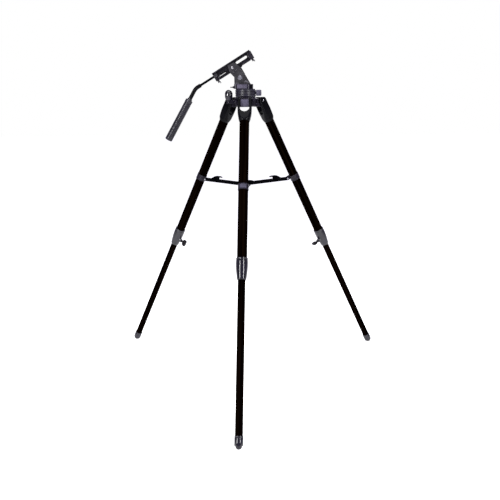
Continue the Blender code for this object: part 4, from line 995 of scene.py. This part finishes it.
@dataclass
class PanHead:
    """The pan drum and its lock, the turntable, the upright and the tilt latch."""

    drum_r: float = 0.044
    drum_height: float = 0.0330
    spigot_r: float = 0.010
    spigot: float = 0.011
    bolt_r: float = 0.00475
    knob_r: float = 0.01275
    knob_length: float = 0.0260
    knob_stem_r: float = 0.005
    knob_stem: float = 0.0008
    deck_ends: Point = (-0.048, 0.0197)
    deck_depth: float = 0.056
    deck_height: float = 0.0195
    block_length: float = 0.012
    tilt_rise: float = 0.0262
    tilt_bolt_r: float = 0.005
    upright_r: float = 0.0215
    upright_left: float = 0.0249
    upright_depth: float = 0.030
    upright_edge: Point = (0.0255, 0.0040)
    tilt: float = radians(30.8)
    latch_length: float = 0.0175
    latch_r: float = 0.006

    def build(self) -> None:
        """Build every piece of the pan head."""
        at = upright_frame("pan")
        self.drum(at)
        self.lock()
        self.deck(at)
        self.upright()
        self.latch()

    def drum(self, at: Matrix) -> None:
        """Mould the pan drum as stacked discs, with a groove between each two and a stepped top."""
        high, low, r = 0.0, -self.drum_height, self.drum_r
        profile = [(0, low), (r - 0.004, low)]
        profile += arc((r - 0.004, low + 0.004), 0.004, -pi / 2, 0.0, 8)
        for level in (low + 0.0100, low + 0.0205):
            profile += [(r, level - 0.0009), (r - 0.0006, level - 0.0004), (r - 0.0022, level),
                        (r - 0.0022, level + 0.0008), (r - 0.0006, level + 0.0012),
                        (r, level + 0.0018)]
        profile += [(r, high - 0.0062), (r - 0.0005, high - 0.0040), (r - 0.0020, high - 0.0034),
                    (r - 0.0026, high - 0.0026), (r - 0.0020, high - 0.0018),
                    (r - 0.0024, high - 0.0004),
                    (r - 0.0032, high), (0, high)]
        solid = turned(profile, 120)
        bolt_end = low + 0.012
        axis = joint("pan_lock_turn")["pos_m"][2] - at.translation.z
        hole = moved(bar(self.knob_stem_r + FIT, r - 0.010, r + OVER), shift(0, 0, axis) @ TO_X)
        solid = combined(solid, Cut.AWAY, bar(self.bolt_r + FIT, low - OVER, bolt_end + FIT),
                         bar(self.spigot_r + 0.0005, high - self.spigot - FIT, high + OVER), hole)
        put("pan_drum", solid, at, DRUM_ABS, "root", "pan_base")

    def lock(self) -> None:
        """Turn the pan lock's wheel with its knurl and its root flange."""
        at = upright_frame("pan_lock_turn") @ TO_X
        inner, start = self.drum_r - 0.010, self.drum_r + self.knob_stem
        end = start + self.knob_length - 0.003
        stem, r = self.knob_stem_r, self.knob_r
        flange = start + 0.0015
        root = turned([(0, inner + FIT), (stem, inner + FIT), (stem, start), (r - 0.0016, start),
                       (r - 0.0006, start + 0.0008), (r - 0.0006, flange), (0, flange)], 64)
        put("pan_lock_flange", root, at, DEEP_ENAMEL, "pan_lock", "pan_lock_knob")
        rings = [lobed(r - inset, swell, 36, z, 1.0, 288) for inset, swell, z in (
            (0.0012, 0.0, flange + 0.0001), (0.0006, 0.0006, flange + 0.0010),
            (0.0006, 0.0006, end - 0.0030), (0.0004, 0.0004, end - 0.0018),
            (0.0020, 0.0, end - 0.0004), (0.0028, 0.0, end), (0.0050, 0.0, end),
            (0.0056, 0.0, end - 0.0006))]
        put("pan_lock_wheel", loft(rings), at, GREY_ENAMEL, "pan_lock")

    def deck(self, at: Matrix) -> None:
        """Mould the turntable, with a grey panel let into each long side, and its end block."""
        left, right = self.deck_ends
        middle, half, depth = (left + right) / 2, (right - left) / 2, self.deck_depth / 2
        low, high = FIT, FIT + self.deck_height
        deck = moved(loft([oval(half, depth, low, 9), oval(half, depth, high, 9)]),
                     shift(middle, 0, 0))
        deck = combined(deck, Cut.TOGETHER, bar(self.spigot_r, low - self.spigot, low + 0.004))
        panel_ends, rim, sunk = (-0.035, 0.008), 0.0012, 0.0009
        tools = [block((panel_ends[0], side * depth - sunk, low + rim),
                       (panel_ends[1], side * depth + sunk, high - rim)) for side in (-1, 1)]
        deck = combined(deck, Cut.AWAY, *tools)
        put("turntable_deck", deck, at, BLACK_ENAMEL, "pan_head", "turntable", bevel=0.0007)
        for name, side in (("front", -1), ("rear", 1)):
            near, far = sorted((side * (depth - sunk + 0.0001), side * (depth - 0.0003)))
            panel = block((panel_ends[0] + 0.0003, near, low + rim + 0.0003),
                          (panel_ends[1] - 0.0003, far, high - rim - 0.0003))
            put("turntable_panel_" + name, panel, at, SLATE_ENAMEL, "pan_head", bevel=0.0002)
        start, stop, wide = right + FIT, right + FIT + self.block_length, depth * 0.72
        end = block((start, -wide, low), (stop, wide, high))
        grooves = [block((stop - 0.0008, -THROUGH, low + 0.0195 * s),
                         (stop + OVER, THROUGH, low + 0.0195 * s + 0.001))
                   for s in (0.25, 0.5, 0.75)]
        put("turntable_end", combined(end, Cut.AWAY, *grooves), at, FORK_ABS, "pan_head",
            "turntable_block", bevel=0.0008)

    def upright(self) -> None:
        """Cast the upright that carries the tilt bolt, with a shallow groove low on each face."""
        bottom = FIT - self.tilt_rise
        (x, z), lean = self.upright_edge, self.tilt
        shoulder = (x * cos(lean) - z * sin(lean), x * sin(lean) + z * cos(lean))
        foot = shoulder[0] + (shoulder[1] - bottom) * tan(lean)
        outline = [(foot, bottom), (foot - 0.002, bottom + 0.002 / tan(lean)), shoulder]
        outline += arc((0, 0), self.upright_r, radians(52), radians(172), 48)
        outline += [(-self.upright_left, 0.002), (-self.upright_left, bottom)]
        half = self.upright_depth / 2
        solid = prism(outline, -half, half)
        relief = [block((0.006, side * half - 0.0006, bottom + 0.0045),
                        (0.030, side * half + 0.0006, bottom + 0.0085))
                  for side in (-1, 1)]
        hole = moved(bar(self.tilt_bolt_r + FIT, -0.05, 0.05), TO_Y)
        solid = combined(solid, Cut.AWAY, hole, *relief)
        put("upright_casting", solid, upright_frame("tilt"), DARK_ENAMEL, "pan_head", "upright",
            bevel=0.0008)

    def latch(self) -> None:
        """Mould the tilt latch: a turned hub with a thin blade."""
        at = upright_frame("latch_turn") @ TO_MINUS_X
        r, length = self.latch_r, self.latch_length
        hub = turned([(0, FIT), (r - 0.0005, FIT), (r, FIT + 0.0005), (r, 0.002),
                      (r * 0.8, 0.0036), (r * 0.5, length * 0.45), (0, length * 0.45)], 48)
        blade = block((-0.0018, -0.004, 0.004), (0.0018, 0.004, length))
        put("tilt_latch_blade", combined(hub, Cut.TOGETHER, blade), at, FORK_ABS, "latch",
            "tilt_latch", bevel=0.0004)


@dataclass
class Cradle:
    """The slotted camera platform with its cheeks, screws, clamps and camera screw."""

    ends: Point = (-0.0942, 0.0911)
    top: float = 0.0767
    thickness: float = 0.0050
    width: float = 0.050
    web_bottom: float = 0.0395
    web: float = 0.003
    slot_height: float = 0.0125
    slot_level: float = 0.0605
    front_slot: Point = (0.0140, 0.0700)
    rear_slits: Point = (0.0561, 0.0510)
    rear_slit: Point = (-0.0740, -0.0360)
    rear_slit_height: float = 0.0028
    rear_window: Point = (-0.0760, -0.0390)
    window_level: float = 0.0482
    window_height: float = 0.0105
    end_block: float = 0.016
    overhang: float = 0.003
    half_depth: float = 0.015
    cheek: float = 0.005
    cheek_r: float = 0.0220
    shoulder: float = -0.0264
    rear_extra: float = 0.0035
    screws: tuple = ((-0.0061, 0.0513, 0.0042), (0.0028, 0.0349, 0.0030), (-0.0112, 0.0333, 0.0030))
    screw_head: float = 0.0022
    boss_r: float = 0.0085
    boss_x: float = -0.0840
    rod_r: float = 0.0050
    rod_level: float = 0.0625
    clamp_drop: float = 0.0150
    screw_r: float = 0.003175
    screw_x: float = -0.0040
    dial_r: float = 0.011
    dial: float = 0.006
    bolt_r: float = 0.005

    def build(self) -> None:
        """Build every piece of the cradle."""
        at = cradle_frame()
        self.channel(at)
        self.end_blocks(at)
        self.clamps(at)
        self.camera_screw(at)
        self.cheeks(at)
        self.fasteners(at)

    def channel(self, at: Matrix) -> None:
        """Fold the slotted channel and lay a ribbed rubber pad on its deck."""
        left, right = self.ends
        under, half = self.top - self.thickness, self.half_depth
        deck_top = self.top - 0.0012
        plate = block((left, -self.width / 2, under), (right, self.width / 2, self.top))
        well = block((left + 0.003, 0.003 - self.width / 2, deck_top),
                     (right - 0.003, self.width / 2 - 0.003, THROUGH))
        inner_left, inner_right = left + self.end_block + FIT, right - self.end_block - FIT
        step, low = 0.003, self.web_bottom
        outline = [(inner_left, under + 0.001), (inner_left, low), (self.shoulder, low),
                   (self.shoulder + step, low - step), (0.032, low - step), (0.032, low),
                   (inner_right, low), (inner_right, under + 0.001)]
        webs = [prism(outline, *sorted((side * half, side * (half - self.web)))) for side in (-1,
                                                                                              1)]
        plate = combined(plate, Cut.TOGETHER, *webs)
        slot, slit = self.slot_height / 2, self.rear_slit_height / 2
        openings = [(self.front_slot, self.slot_level, slot, -0.05, 0.05),
                    (self.rear_window, self.window_level, self.window_height / 2, 0.0, 0.05)]
        openings += [(self.rear_slit, level, slit, -0.05, 0.0) for level in self.rear_slits]
        tools = [well]
        for (start, end), level, radius, near, far in openings:
            shape = arc((end - radius, level), radius, -pi / 2, pi / 2, 18)
            shape += arc((start + radius, level), radius, pi / 2, 3 * pi / 2, 18)
            tools.append(prism(shape, near, far))
        tools.append(moved(bar(self.screw_r + FIT, under - OVER, THROUGH),
                           shift(self.screw_x, 0, 0)))
        put("platform_channel", combined(plate, Cut.AWAY, *tools), at, SATIN_ABS, "cradle",
            "platform",
            bevel=0.0005)
        pad = block((left + 0.0033, 0.0033 - self.width / 2, deck_top + 0.0001),
                    (right - 0.0033, self.width / 2 - 0.0033, self.top - 0.0001))
        tools = [moved(bar(self.screw_r + 0.0015, 0.0, THROUGH), shift(self.screw_x, 0, 0))]
        pitch = 0.006
        count = int((right - left - 0.012) / pitch)
        for index in range(count):
            x = left + 0.0075 + index * pitch
            tools.append(block((x, -THROUGH, self.top - 0.0007), (x + 0.0012, THROUGH, THROUGH)))
        put("platform_pad", combined(pad, Cut.AWAY, *tools), at, RUBBER, "cradle")

    def end_blocks(self, at: Matrix) -> None:
        """Mould the two end blocks; the rear one is bored for the handle's rod."""
        left, right = self.ends
        under, half, low = self.top - self.thickness - FIT, self.half_depth, self.web_bottom
        rear = combined(block((left, -half, low), (left + self.end_block, half, under)), Cut.AWAY,
                        moved(bar(self.rod_r + FIT, -0.2, 0.2), shift(0, 0, self.rod_level) @ TO_X))
        put("platform_end_rear", rear, at, SATIN_ABS, "cradle", "platform_block_rear", bevel=0.0009)
        front = block((right - self.end_block, -half, low), (right + self.overhang, half, under))
        grooves = [block((right + self.overhang - 0.0006, -THROUGH, z),
                         (right + OVER, THROUGH, z + 0.0012))
                   for z in (low + 0.008, low + 0.016, low + 0.024)]
        put("platform_end_front", combined(front, Cut.AWAY, *grooves), at, SATIN_ABS, "cradle",
            "platform_block_front", bevel=0.0009)

    def clamps(self, at: Matrix) -> None:
        """Mould the two small clamp levers under the end blocks."""
        left, right = self.ends
        middles = {"rear": left + self.end_block / 2,
                   "front": (right - self.end_block + right + self.overhang) / 2}
        foot = self.clamp_drop
        for name, x in middles.items():
            stem = turned([(0, -0.0095), (0.0040, -0.0095), (0.0045, -0.0088), (0.0045, -0.0012),
                           (0.0040, -FIT), (0, -FIT)], 48)
            curve = [(-0.0050, -0.0065), (0.0050, -0.0065), (0.0062, -0.0078), (0.0070, -0.0095),
                     (0.0062, -0.0125), (0.0045, -foot), (0.0020, -foot), (0.0032, -0.0122),
                     (0.0035, -0.0100), (-0.0050, -0.0090)]
            lever = combined(stem, Cut.TOGETHER, prism(curve, -0.0025, 0.0025))
            put("clamp_" + name + "_lever", lever, at @ shift(x, 0, self.web_bottom), GLOSSY_ABS,
                "clamp_" + name, "clamp_lever_" + name, bevel=0.0005)

    def camera_screw(self, at: Matrix) -> None:
        """Turn the camera screw with its thread, and its dial with a knurled rim."""
        under = self.top - self.thickness
        low, high = under - FIT - self.dial, under - FIT
        rings = [lobed(self.dial_r - inset, swell, 40, z, 1.0, 240) for inset, swell, z in (
            (0.0010, 0.0, low), (0.0005, 0.0005, low + 0.0007), (0.0005, 0.0005, high - 0.0007),
            (0.0010, 0.0, high))]
        r, top, pitch = self.screw_r, self.top - 0.0005, 0.00127
        thread = [(0, high - 0.001), (r, high - 0.001), (r, high + 0.0008)]
        level = high + 0.0008
        while level + pitch < top - 0.0004:
            thread += [(r - 0.0006, level + pitch / 2), (r, level + pitch)]
            level += pitch
        thread += [(r - 0.0006, top), (0, top)]
        screw = combined(loft(rings), Cut.TOGETHER, turned(thread, 48))
        put("camera_screw_knurled", screw, at @ shift(self.screw_x, 0, 0), NICKEL_STEEL,
            "camera_dial",
            "camera_screw")

    def cheeks(self, at: Matrix) -> None:
        """Cast the two cheeks that hang the platform on the tilt bolt."""
        inner = self.half_depth + FIT
        outer = inner + self.cheek
        top, r = self.top - self.thickness - FIT, self.cheek_r
        for name, side, extra, finish in (("front", -1, 0.0, DARK_ENAMEL),
                                          ("rear", 1, self.rear_extra, SATIN_ABS)):
            outline = arc((0, 0), r, radians(-180), radians(-20), 40)
            outline += [(r + extra, 0.0), (r + extra, self.web_bottom),
                        (0.0094 + extra, top - 0.003),
                        (-0.0192, top), (self.shoulder, self.web_bottom), (-0.0200, 0.0144)]
            solid = prism(outline, *sorted((side * inner, side * outer)))
            hole = moved(bar(self.bolt_r + FIT, -0.05, 0.05), TO_Y)
            put("cheek_plate_" + name, combined(solid, Cut.AWAY, hole), at, finish, "cradle",
                "cheek_" + name, bevel=0.0009)

    def fasteners(self, at: Matrix) -> None:
        """Turn the tilt bolt, its nut, the three cheek screws and the rod clamp's boss."""
        face = self.half_depth + 2 * FIT + self.cheek
        shaft = self.bolt_r
        bolt = turned([(0, -0.0048), (0.0026, -0.0048), (0.0030, -0.0055), (0.0058, -0.0055),
                       (0.0065, -0.0048), (0.0065, -0.0015), (0.0095, -0.0015), (0.010, -0.0010),
                       (0.010, 0), (shaft, 0), (shaft, 2 * face + 0.0055),
                       (shaft - 0.0005, 2 * face + 0.006),
                       (0, 2 * face + 0.006)], 64)
        put("tilt_bolt_turned", bolt, at @ shift(0, -face, 0) @ TO_Y, NICKEL_STEEL, "cradle",
            "tilt_bolt")
        nut = loft([oval(0.0085, 0.0085, 0.0, 2, 6), oval(0.009, 0.009, 0.0005, 2, 6),
                    oval(0.009, 0.009, 0.0045, 2, 6), oval(0.0085, 0.0085, 0.005, 2, 6)])
        nut = combined(nut, Cut.AWAY, bar(shaft + FIT, -0.01, 0.02))
        put("tilt_nut_hexagon", nut, at @ shift(0, face, 0) @ TO_Y, NICKEL_STEEL, "cradle",
            "tilt_nut")
        for index, (x, z, r) in enumerate(self.screws, 1):
            high = self.screw_head
            head = turned([(0, 0), (r, 0), (r, high * 0.55), (r * 0.86, high * 0.85),
                           (r * 0.6, high),
                           (0, high)], 48)
            driver = [block((-r * 0.5, -0.0004, high * 0.5), (r * 0.5, 0.0004, high * 2)),
                      block((-0.0004, -r * 0.5, high * 0.5), (0.0004, r * 0.5, high * 2))]
            put("cheek_screw_head_%d" % index, combined(head, Cut.AWAY, *driver),
                at @ shift(x, -face, z) @ TO_MINUS_Y, NICKEL_STEEL if index == 1 else DULL_STEEL,
                "cradle", "cheek_screw_%d" % index)
        r = self.boss_r
        boss = turned([(0, 0), (r, 0), (r, 0.003), (r - 0.0006, 0.0042), (r - 0.002, 0.005),
                       (r - 0.0035, 0.005), (r - 0.0040, 0.0043), (0, 0.0043)], 64)
        place = at @ shift(self.boss_x, -self.half_depth - FIT, self.rod_level) @ TO_MINUS_Y
        put("rod_clamp_cap", boss, place, DARK_ENAMEL, "cradle", "rod_clamp_boss")


@dataclass
class Handle:
    """The pan handle: a steel rod, a bent sleeve and a ribbed grip."""

    rod_r: float = 0.0050
    rod_level: float = 0.0625
    rod_inner: float = -0.0290
    sleeve_start: float = -0.1608
    sleeve_r: float = 0.00825
    bend_x: float = -0.1880
    bend_angle: float = radians(29.1)
    bend_radius: float = 0.045
    to_grip: float = 0.0484
    grip_length: float = 0.203
    grip_r: float = 0.01625
    ferrule: float = 0.006
    rib_pitch: float = 0.0030
    rib_depth: float = 0.0006

    def build(self) -> None:
        """Build the rod, the sleeve and the grip."""
        at = cradle_frame() @ shift(0, 0, self.rod_level)
        r, low, high = self.rod_r, -self.rod_inner, -self.sleeve_start - FIT
        rod = turned([(0, low), (r - 0.0008, low), (r, low + 0.0008), (r, high), (0, high)], 48)
        put("handle_rod_bar", rod, at @ TO_MINUS_X, BLACKENED_STEEL, "handle", "handle_rod")
        tangent = self.bend_radius * tan(self.bend_angle / 2)
        path = [(self.sleeve_start, 0.0), (self.sleeve_start - 0.002, 0.0)]
        path += arc((self.bend_x + tangent, -self.bend_radius), self.bend_radius, pi / 2,
                    pi / 2 + self.bend_angle, 24)
        for distance in (0.014, 0.020, 0.026, 0.032, 0.038, self.to_grip - 0.002, self.to_grip):
            path.append((self.bend_x - distance * cos(self.bend_angle),
                         -distance * sin(self.bend_angle)))
        path = sorted(path, key=lambda point: -point[0])
        put("handle_sleeve_bent", swept(path, self.sleeve_r, 64), at, FORK_ABS, "handle",
            "handle_sleeve", bevel=0.0008)
        place = at @ shift(self.bend_x, 0, 0) @ Matrix.Rotation(-(pi / 2 + self.bend_angle), 4, "Y")
        put("handle_grip_ribbed", turned(self.grip_profile(), 72), place, RUBBER, "handle",
            "handle_grip")

    def grip_profile(self) -> list[Point]:
        """Lay out the grip's profile, with a flared start, square ribs and a plain end cap.

        Returns:
            Radius and height of each point from the ferrule to the cap.
        """
        start = self.to_grip + FIT
        end = start + self.grip_length
        ferrule, r = start + self.ferrule, self.grip_r
        profile = [(0, start), (0.0095, start), (0.0105, start + 0.001), (0.0105, ferrule),
                   (r - 0.0020, ferrule + 0.0006), (r - 0.0006, ferrule + 0.0020),
                   (r - 0.0003, ferrule + 0.0040),
                   (r - 0.0003, ferrule + 0.0120)]
        level = ferrule + 0.0135
        while level + self.rib_pitch < end - 0.016:
            share = (level - start) / self.grip_length
            crest = r - 0.0005 * (1.0 - share)
            base = crest - self.rib_depth
            profile += [(base, level), (crest, level + 0.20 * self.rib_pitch),
                        (crest, level + 0.55 * self.rib_pitch),
                        (base, level + 0.75 * self.rib_pitch)]
            level += self.rib_pitch
        profile += [(r - 0.0002, level + 0.0006), (r - 0.0002, end - 0.0030),
                    (r - 0.0010, end - 0.0010),
                    (r - 0.0028, end), (r - 0.0060, end), (r - 0.0068, end - 0.0007),
                    (0, end - 0.0007)]
        return profile


@dataclass
class Studio:
    """The plain room: white paper floor, soft lights and the camera.

    Walls are white where the camera looks at them and dim violet grey in what they light and
    reflect in the part, so black finishes stay deep.
    """

    floor_size: float = 40.0
    camera_distance: float = 2.74541
    camera_height: float = 1.24072
    camera_azimuth: float = radians(3.0393)
    camera_yaw: float = radians(-0.2738)
    camera_pitch: float = radians(13.6031)
    camera_roll: float = radians(-0.4861)
    camera_lens: float = 44.6054
    camera_sensor: float = 36.0
    paper: tuple[int, int] = (0xF4F4F4, 0xFAFAFA)
    paper_tooth: float = 400.0
    paper_glow: float = 0.75
    room_seen: tuple = (1.0, 1.0, 1.0, 1.0)
    room_reflected: tuple = (0.34, 0.33, 0.42, 1.0)
    aim: tuple = (0.0, 0.15, 0.95)
    softboxes: tuple = (("top", (0.0, -0.6, 3.4), (2.4, 2.4), 90.0),
                        ("left", (-1.7, -2.2, 1.6), (0.22, 1.9), 80.0),
                        ("right", (1.8, -2.1, 1.7), (0.22, 1.9), 64.0),
                        ("back", (0.6, 2.6, 2.2), (1.6, 1.6), 30.0))

    def build(self) -> None:
        """Build the floor, the lights and the camera."""
        self.floor()
        self.lights()
        self.camera()

    def floor(self) -> None:
        """Lay a wide floor of white paper with a faint tooth."""
        bm = bmesh.new()
        bmesh.ops.create_grid(bm, x_segments=8, y_segments=8, size=self.floor_size / 2)
        mesh = bpy.data.meshes.new("studio_floor")
        bm.to_mesh(mesh)
        bm.free()
        paper = bpy.data.materials.new("paper_white_matt")
        paper.use_nodes = True
        tree = paper.node_tree
        place = add(tree, "ShaderNodeTexCoord").outputs["Object"]
        tooth = add(tree, "ShaderNodeTexNoise", {"Vector": place, "Scale": self.paper_tooth})
        shade = add(tree, "ShaderNodeMix", {"Factor": tooth.outputs[0], "A": linear(self.paper[0]),
                                            "B": linear(self.paper[1])}, data_type="RGBA")
        shader = tree.nodes["Principled BSDF"]
        tree.links.new(shade.outputs["Result"], shader.inputs["Base Color"])
        shader.inputs["Roughness"].default_value = 0.9
        shader.inputs["Emission Color"].default_value = self.room_seen
        shader.inputs["Emission Strength"].default_value = self.paper_glow
        mesh.materials.append(paper)
        floor = bpy.data.objects.new("studio_floor", mesh)
        floor.location = (0.0, 0.0, -0.0002)
        bpy.context.scene.collection.objects.link(floor)

    def lights(self) -> None:
        """Hang a top light, a back light and two tall side lights in the room."""
        world = bpy.data.worlds.new("white_room")
        world.use_nodes = True
        tree = world.node_tree
        seen = add(tree, "ShaderNodeLightPath").outputs["Is Camera Ray"]
        room = add(tree, "ShaderNodeMix", {"Factor": seen, "A": self.room_reflected,
                                           "B": self.room_seen}, data_type="RGBA")
        tree.links.new(room.outputs["Result"], tree.nodes["Background"].inputs["Color"])
        tree.nodes["Background"].inputs["Strength"].default_value = 1.0
        bpy.context.scene.world = world
        bpy.context.scene.view_settings.view_transform = "Standard"
        for name, place, (wide, tall), power in self.softboxes:
            lamp = bpy.data.lights.new("softbox_" + name, "AREA")
            lamp.shape = "RECTANGLE"
            lamp.size, lamp.size_y, lamp.energy = wide, tall, power
            item = bpy.data.objects.new("softbox_" + name, lamp)
            item.location = place
            aim = Vector(self.aim) - Vector(place)
            item.rotation_euler = aim.to_track_quat("-Z", "Y").to_euler()
            bpy.context.scene.collection.objects.link(item)

    def camera(self) -> None:
        """Stand the camera in front of the tripod, a little above its middle."""
        axis = Vector(joint("pan")["pos_m"])
        a = self.camera_azimuth
        place = Vector((axis.x + self.camera_distance * sin(a),
                        axis.y - self.camera_distance * cos(a),
                        self.camera_height))
        turn = a + self.camera_yaw
        ahead, right = Vector((-sin(turn), cos(turn), 0)), Vector((cos(turn), sin(turn), 0))
        up = Vector((0, 0, 1))
        pitch, roll = self.camera_pitch, self.camera_roll
        look = ahead * cos(pitch) - up * sin(pitch)
        crown = ahead * sin(pitch) + up * cos(pitch)
        side = right * cos(roll) + crown * sin(roll)
        crown = crown * cos(roll) - right * sin(roll)
        view = bpy.data.cameras.new("camera")
        view.lens, view.sensor_width = self.camera_lens, self.camera_sensor
        item = bpy.data.objects.new("camera", view)
        item.matrix_world = Matrix(((side.x, crown.x, -look.x, place.x),
                                    (side.y, crown.y, -look.y, place.y),
                                    (side.z, crown.z, -look.z, place.z), (0.0, 0.0, 0.0, 1.0)))
        bpy.context.scene.collection.objects.link(item)
        bpy.context.scene.camera = item


def main() -> None:
    """Build the sub-assemblies in order."""
    logging.basicConfig(level=logging.INFO, format="%(message)s")
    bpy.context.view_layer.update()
    for side, lock_turn in zip(SIDES, (radians(30), 0.0, radians(80))):
        Leg(side, lock_turn).build()
    for part in (Spreader(), Crown(), PanHead(), Cradle(), Handle(), Studio()):
        part.build()


if __name__ == "__main__":
    main()
